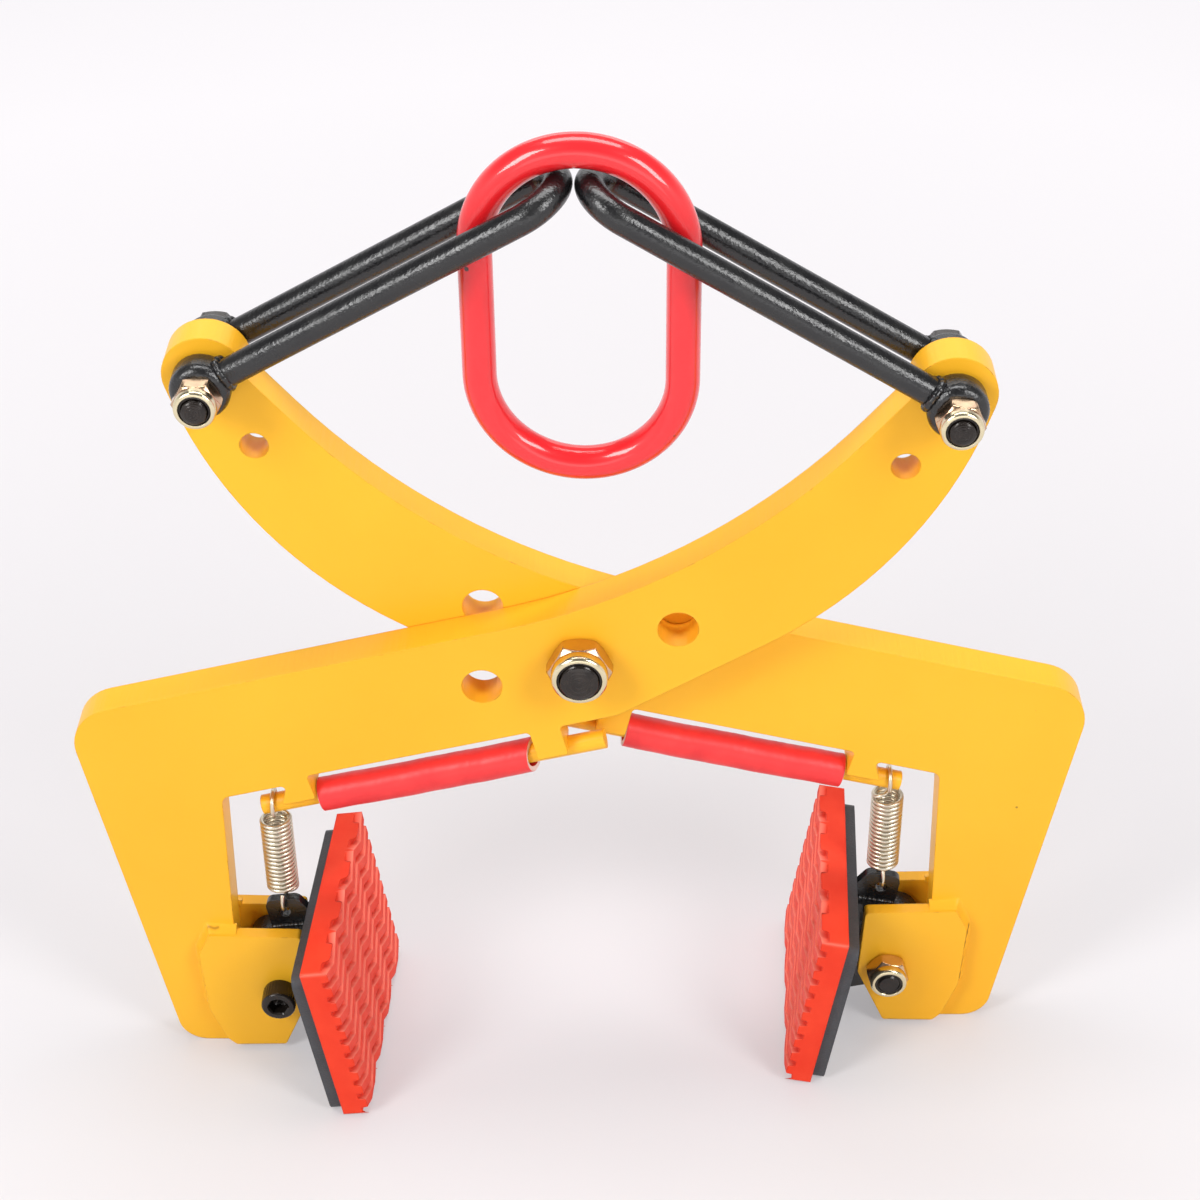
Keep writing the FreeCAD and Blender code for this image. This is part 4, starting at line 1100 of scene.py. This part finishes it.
@dataclass
class Pad:
    """Swivel pad: moulded rubber facing on its backing plate, lug and tab."""

    tilt: float = 9.0
    yaw: float = -3.0
    width: float = 108.0
    height: float = 85.5
    back: float = 27.2
    base: float = 8.8
    rib_height: float = 3.2
    rib_count: int = 10
    rib_width: float = 5.4
    period: float = 27.0
    swing: float = 6.2
    rib_start: float = 3.0
    backing: float = 5.8
    lug_top: float = 29.0
    tab_thick: float = 4.0
    tab_back: float = 1.8
    lug_thick: float = 13.0
    lug_bottom: float = -24.0
    top_half: float = 5.0
    tab_bead: float = 1.4
    lug_bead: float = 1.8
    top_bead: float = 1.5
    flank: float = 0.55
    flank_out: float = 0.25
    lit_in: float = 0.30
    lit_soft: float = 0.34
    corner_highlight: float = 0.6
    corner_soft: float = 0.9
    crease: float = 50.0
    grid: tuple[int, int] = (181, 286)

    def carry(self, local: Array, swivel: Array, side: Side) -> Array:
        """Points of the pad, (toward the jaw, across, up), tilted, turned and carried to the swivel bolt.

        Args:
            local: Points about the bolt in millimetres.
            swivel: The left swivel bolt's place.
            side: Which side.

        Returns:
            Points in the frame.
        """
        c, s = math.cos(math.radians(self.tilt)), math.sin(math.radians(self.tilt))
        p, y, q = local[..., 0], local[..., 1], local[..., 2]
        x, z = p * c - q * s, p * s + q * c
        a, b = math.cos(math.radians(self.yaw)), math.sin(math.radians(self.yaw))
        points = np.stack([x * a - y * b, x * b + y * a, z], axis=-1) * MM + swivel
        return half_turn(points) if side is Side.RIGHT else points

    def bottom(self, swivel: Array) -> float:
        """Height of the pad's lower edge about the bolt, set so that the backing stands on the floor."""
        tilt = math.radians(self.tilt)
        return (-swivel[2] / MM - (self.back - self.backing) * math.sin(tilt)) / math.cos(tilt)

    def facing(self, side: Side, swivel: Array) -> None:
        """Rubber facing: zigzag ribs with drafted flanks on a block with rounded edges.

        The height over the block is a smooth step of the distance to the nearest zigzag line. The upper edge of each
        rib and the block's front top corner are painted paler, a painted highlight where light catches them.

        Args:
            side: Which side.
            swivel: The left swivel bolt's place.
        """
        low = self.bottom(swivel)
        across = np.linspace(-self.width / 2.0, self.width / 2.0, self.grid[0])
        up = np.linspace(0.0, self.height, self.grid[1])
        y, q = np.meshgrid(across, up, indexing="ij")
        phase = np.mod(y + self.width / 2.0, self.period) / self.period
        zigzag = self.swing * (0.5 - np.abs(1.0 - 2.0 * phase)) * -1.0
        pitch = self.height / self.rib_count
        off = np.mod(q - zigzag - self.rib_start + pitch / 2.0, pitch) - pitch / 2.0
        flank = np.clip((self.rib_width / 2.0 + self.flank_out - np.abs(off)) / self.flank, 0.0, 1.0)
        rise = self.rib_height * flank ** 2 * (3.0 - 2.0 * flank)
        worn = ripple(y, (0.05, 31.0, 0.3), (0.03, 11.0, 1.9)) + ripple(q, (0.05, 23.0, 1.1))
        # Painted highlight: paler colour along each rib's upper edge and at the block's front top corner, where light
        # catches them.
        lit = np.exp(-((off - self.rib_width / 2.0 + self.lit_in) / self.lit_soft) ** 2)
        face = np.stack([self.back + self.base + rise + worn, y, low + q], axis=-1)
        rim = np.concatenate([face[:, 0], face[-1, 1:], face[-2::-1, -1], face[0, -2:0:-1]])
        rim_rear = np.stack([np.full(len(rim), self.back), rim[:, 1], rim[:, 2]], axis=-1)
        depth = np.linspace(0.0, 1.0, 6)[:, None, None]
        wall = rim[None] + (rim_rear - rim)[None] * depth
        middle = np.broadcast_to(rim_rear.mean(axis=0), rim_rear.shape)
        back = np.stack([rim_rear, middle])
        front = self.width / 2.0 * (-1.0 if side is Side.LEFT else 1.0)
        near = (rim[:, 1] - front) ** 2 + (rim[:, 2] - low - self.height) ** 2
        corner = self.corner_highlight * np.exp(-near / self.corner_soft)
        sheets = [Sheet(self.carry(g, swivel, side), closed_columns=closed, mark=np.broadcast_to(mark, g.shape[:2]))
                  for g, closed, mark in ((face, False, lit), (back, True, np.zeros(1)), (wall, True, corner))]
        tread = mesh_piece(side.node("pad_tread"), sheets, self.crease)
        PAD_RUBBER.dress(tread, side.node("pad"), side.node("pad_rubber"))

    def weld(self, side: Side, swivel: Array, name: str, start: Point, end: Point, size: float) -> None:
        """Bead along a straight seam: a tube with ripples, half sunk in the corner.

        Args:
            side: Which side.
            swivel: The left swivel bolt's place.
            name: Name of the bead.
            start: Where it starts, about the bolt in millimetres.
            end: Where it ends.
            size: Radius of the bead.
        """
        part = np.linspace(0.0, 1.0, 60)
        line = np.array(start) + (np.array(end) - np.array(start)) * part[:, None]
        run = part * np.linalg.norm(np.array(end) - np.array(start))
        ends = np.sqrt(np.clip(1.0 - (2.0 * part - 1.0) ** 8, 0.02, 1.0))
        radius = size * (1.0 + ripple(run, (0.10, 2.3, 0.0), (0.08, 5.1, 1.3))) * ends
        grid = tube(self.carry(line, swivel, side), radius * MM, 14, unit(np.array((0.31, 0.62, 0.72))))
        BLACK_COAT.dress(mesh_piece(side.node(name), [Sheet(grid)]), side.node("pad"))

    def build(self, side: Side, swivel: Array) -> None:
        """Facing and welds of one pad.

        Args:
            side: Which side.
            swivel: The left swivel bolt's place.
        """
        self.facing(side, swivel)
        plate, top, half = self.back - self.backing, self.lug_top, self.top_half
        for mark, sign in (("a", -1.0), ("b", 1.0)):
            y = sign * self.tab_thick / 2.0
            self.weld(side, swivel, "tab_weld_" + mark, (self.tab_back, y, top), (plate, y, top), self.tab_bead)
            y = sign * self.lug_thick / 2.0
            self.weld(side, swivel, "lug_weld_" + mark, (plate, y, self.lug_bottom), (plate, y, top), self.lug_bead)
        self.weld(side, swivel, "lug_weld_top", (plate, -half, top), (plate, half, top), self.top_bead)


@dataclass
class CheekWelds:
    """Painted fillet welds along the cheeks' rear and upper edges, where they lie on the legs.

    A row of the outline is a point of the edge about the swivel bolt, the direction out from it and the weld's width.
    A gap shade is the span of the edge that the painted shade of the gap follows, and its strength.
    """

    step: float = 4.6
    inside: float = 1.0
    sunk: float = 0.3
    skirt: float = 0.3
    left_gap_shade: tuple[Span, float] = ((0.83, 0.91), 0.6)
    right_gap_shade: tuple[Span, float] = ((0.30, 0.74), 1.0)
    gap_shade_at: float = 0.30
    gap_shade_soft: float = 0.10
    outline: tuple[tuple[float, ...], ...] = (
        (-22.0, -33.3, -0.30, -0.95, 1.5), (-27.0, -29.3, -0.92, -0.38, 2.8), (-33.5, -10.8, -1.0, 0.0, 3.2),
        (-35.0, 23.2, -1.0, 0.15, 3.6), (-29.5, 34.2, -0.5, 0.87, 4.4), (-17.4, 33.8, 0.0, 1.0, 2.4))

    def surface(self, face: float, away: float, swivel: Array) -> tuple[Array, Array, Array]:
        """Weld of one cheek: its height over the leg falls with the square of the share of the way left to run.

        Args:
            face: Height in Y of the leg's face, in millimetres.
            away: Sign of Y away from the leg.
            swivel: The swivel bolt's place in millimetres.

        Returns:
            Grid of points, the share of the way along the edge, and the share of the way out from it.
        """
        rows = np.array(self.outline)
        run = np.concatenate([[0.0], np.cumsum(np.linalg.norm(np.diff(rows[:, :2], axis=0), axis=1))])
        at = np.linspace(0.0, run[-1], 110)
        x, z, out_x, out_z, width = (np.interp(at, run, column)[:, None] for column in rows.T)
        width = width * (1.0 + ripple(at, (0.05, 23.0, 0.4), (0.03, 9.0, 1.0)))[:, None]
        share = np.linspace(0.0, 1.0, 22)[None, :]
        off = (width + self.inside) * share - self.inside
        fall = np.clip(off / width, 0.0, 1.0)
        height = self.step * (1.0 - fall) ** 2 - self.sunk * fall
        height = height + ripple(at, (0.04, 13.0, 0.2), (0.02, 5.3, 1.7))[:, None] * 4.0 * fall * (1.0 - fall)
        below = np.full((len(at), 2), -self.sunk - self.skirt)
        off = np.concatenate([off, off[:, -1:], off[:, :1]], axis=1)
        height = np.concatenate([height, below], axis=1)
        points = np.stack([x + out_x * off + swivel[0], face + away * height, z + out_z * off + swivel[2]], axis=-1)
        middle = points.mean(axis=1, keepdims=True)
        closed = np.concatenate([np.repeat(middle[:1], off.shape[1], axis=1), points,
                                 np.repeat(middle[-1:], off.shape[1], axis=1)])
        fall = np.pad(np.concatenate([fall, np.ones_like(below)], axis=1), ((1, 1), (0, 0)), mode="edge")
        return closed, np.pad(at / run[-1], 1, mode="edge")[:, None], fall

    def build(self, side: Side, swivel: Array) -> None:
        """Welds of one side's two cheeks, with a dark broken line of painted shade at the foot of the weld, where the
        gap between cheek and leg lies in shadow.

        Args:
            side: Which side.
            swivel: The left swivel bolt's place.
        """
        low, high = (v / MM for v in node_box("front_arm"))
        (first, last), depth = self.right_gap_shade if side is Side.RIGHT else self.left_gap_shade
        for name, face, away in (("outer", low[1], -1.0), ("inner", high[1], 1.0)):
            points, along, fall = self.surface(face, away, swivel / MM)
            # Painted shade: a dark broken line along the weld's foot, standing for the shadowed gap between cheek and
            # leg.
            broken = np.clip(1.5 * ripple(along, (0.6, 0.29, 0.4), (0.3, 0.11, 1.0)) + 0.7, 0.0, 1.0)
            wander = self.gap_shade_at + ripple(along, (0.09, 0.21, 0.0), (0.06, 0.057, 1.0))
            line = np.exp(-((fall - wander) / self.gap_shade_soft) ** 2)
            seam = depth * line * broken * ((along > first) & (along < last))
            points = half_turn(points) if side is Side.RIGHT else points
            sheet = Sheet(points * MM, mark=seam)
            YELLOW_PAINT.dress(mesh_piece(side.node(f"cheek_weld_{name}"), [sheet]), side.arm)


def dress_nodes(nodes: dict[str, bpy.types.Object]) -> None:
    """Give every CAD node its finish, by the first word of the list that is in its name.

    Args:
        nodes: CAD nodes by name.
    """
    finishes = {"spring_tab": BLACK_COAT, "bumper_rod": YELLOW_PAINT, "hose": HOSE_RUBBER, "backing": PLATE_COAT,
                "lug": BLACK_COAT, "rubber": PAD_RUBBER, "nut": ZINC, "bolt": BLACK_OXIDE, "cheek": YELLOW_PAINT,
                "lifting_ring": RED_PAINT, "link": BLACK_COAT, "spring": SPRING_ZINC, "arm": YELLOW_PAINT}
    for name, node in nodes.items():
        next(finish for word, finish in finishes.items() if word in name).dress_node(node)


def main() -> None:
    """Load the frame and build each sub-assembly in order."""
    logging.basicConfig(level=logging.INFO, format="%(message)s")
    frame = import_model()
    joints = {joint["name"]: joint for joint in frame["joints"]}
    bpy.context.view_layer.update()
    dress_nodes(frame["nodes"])
    Studio().build()
    Fasteners().build()
    Ring().build()
    swivel = np.array(joints["left_pad_swivel"]["pos_m"])
    for side in Side:
        Links().build(side, joints)
        Hose().build(side)
        Spring().build(side)
        Pad().build(side, swivel)
        CheekWelds().build(side, swivel)
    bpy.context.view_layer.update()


if __name__ == "__main__":
    main()
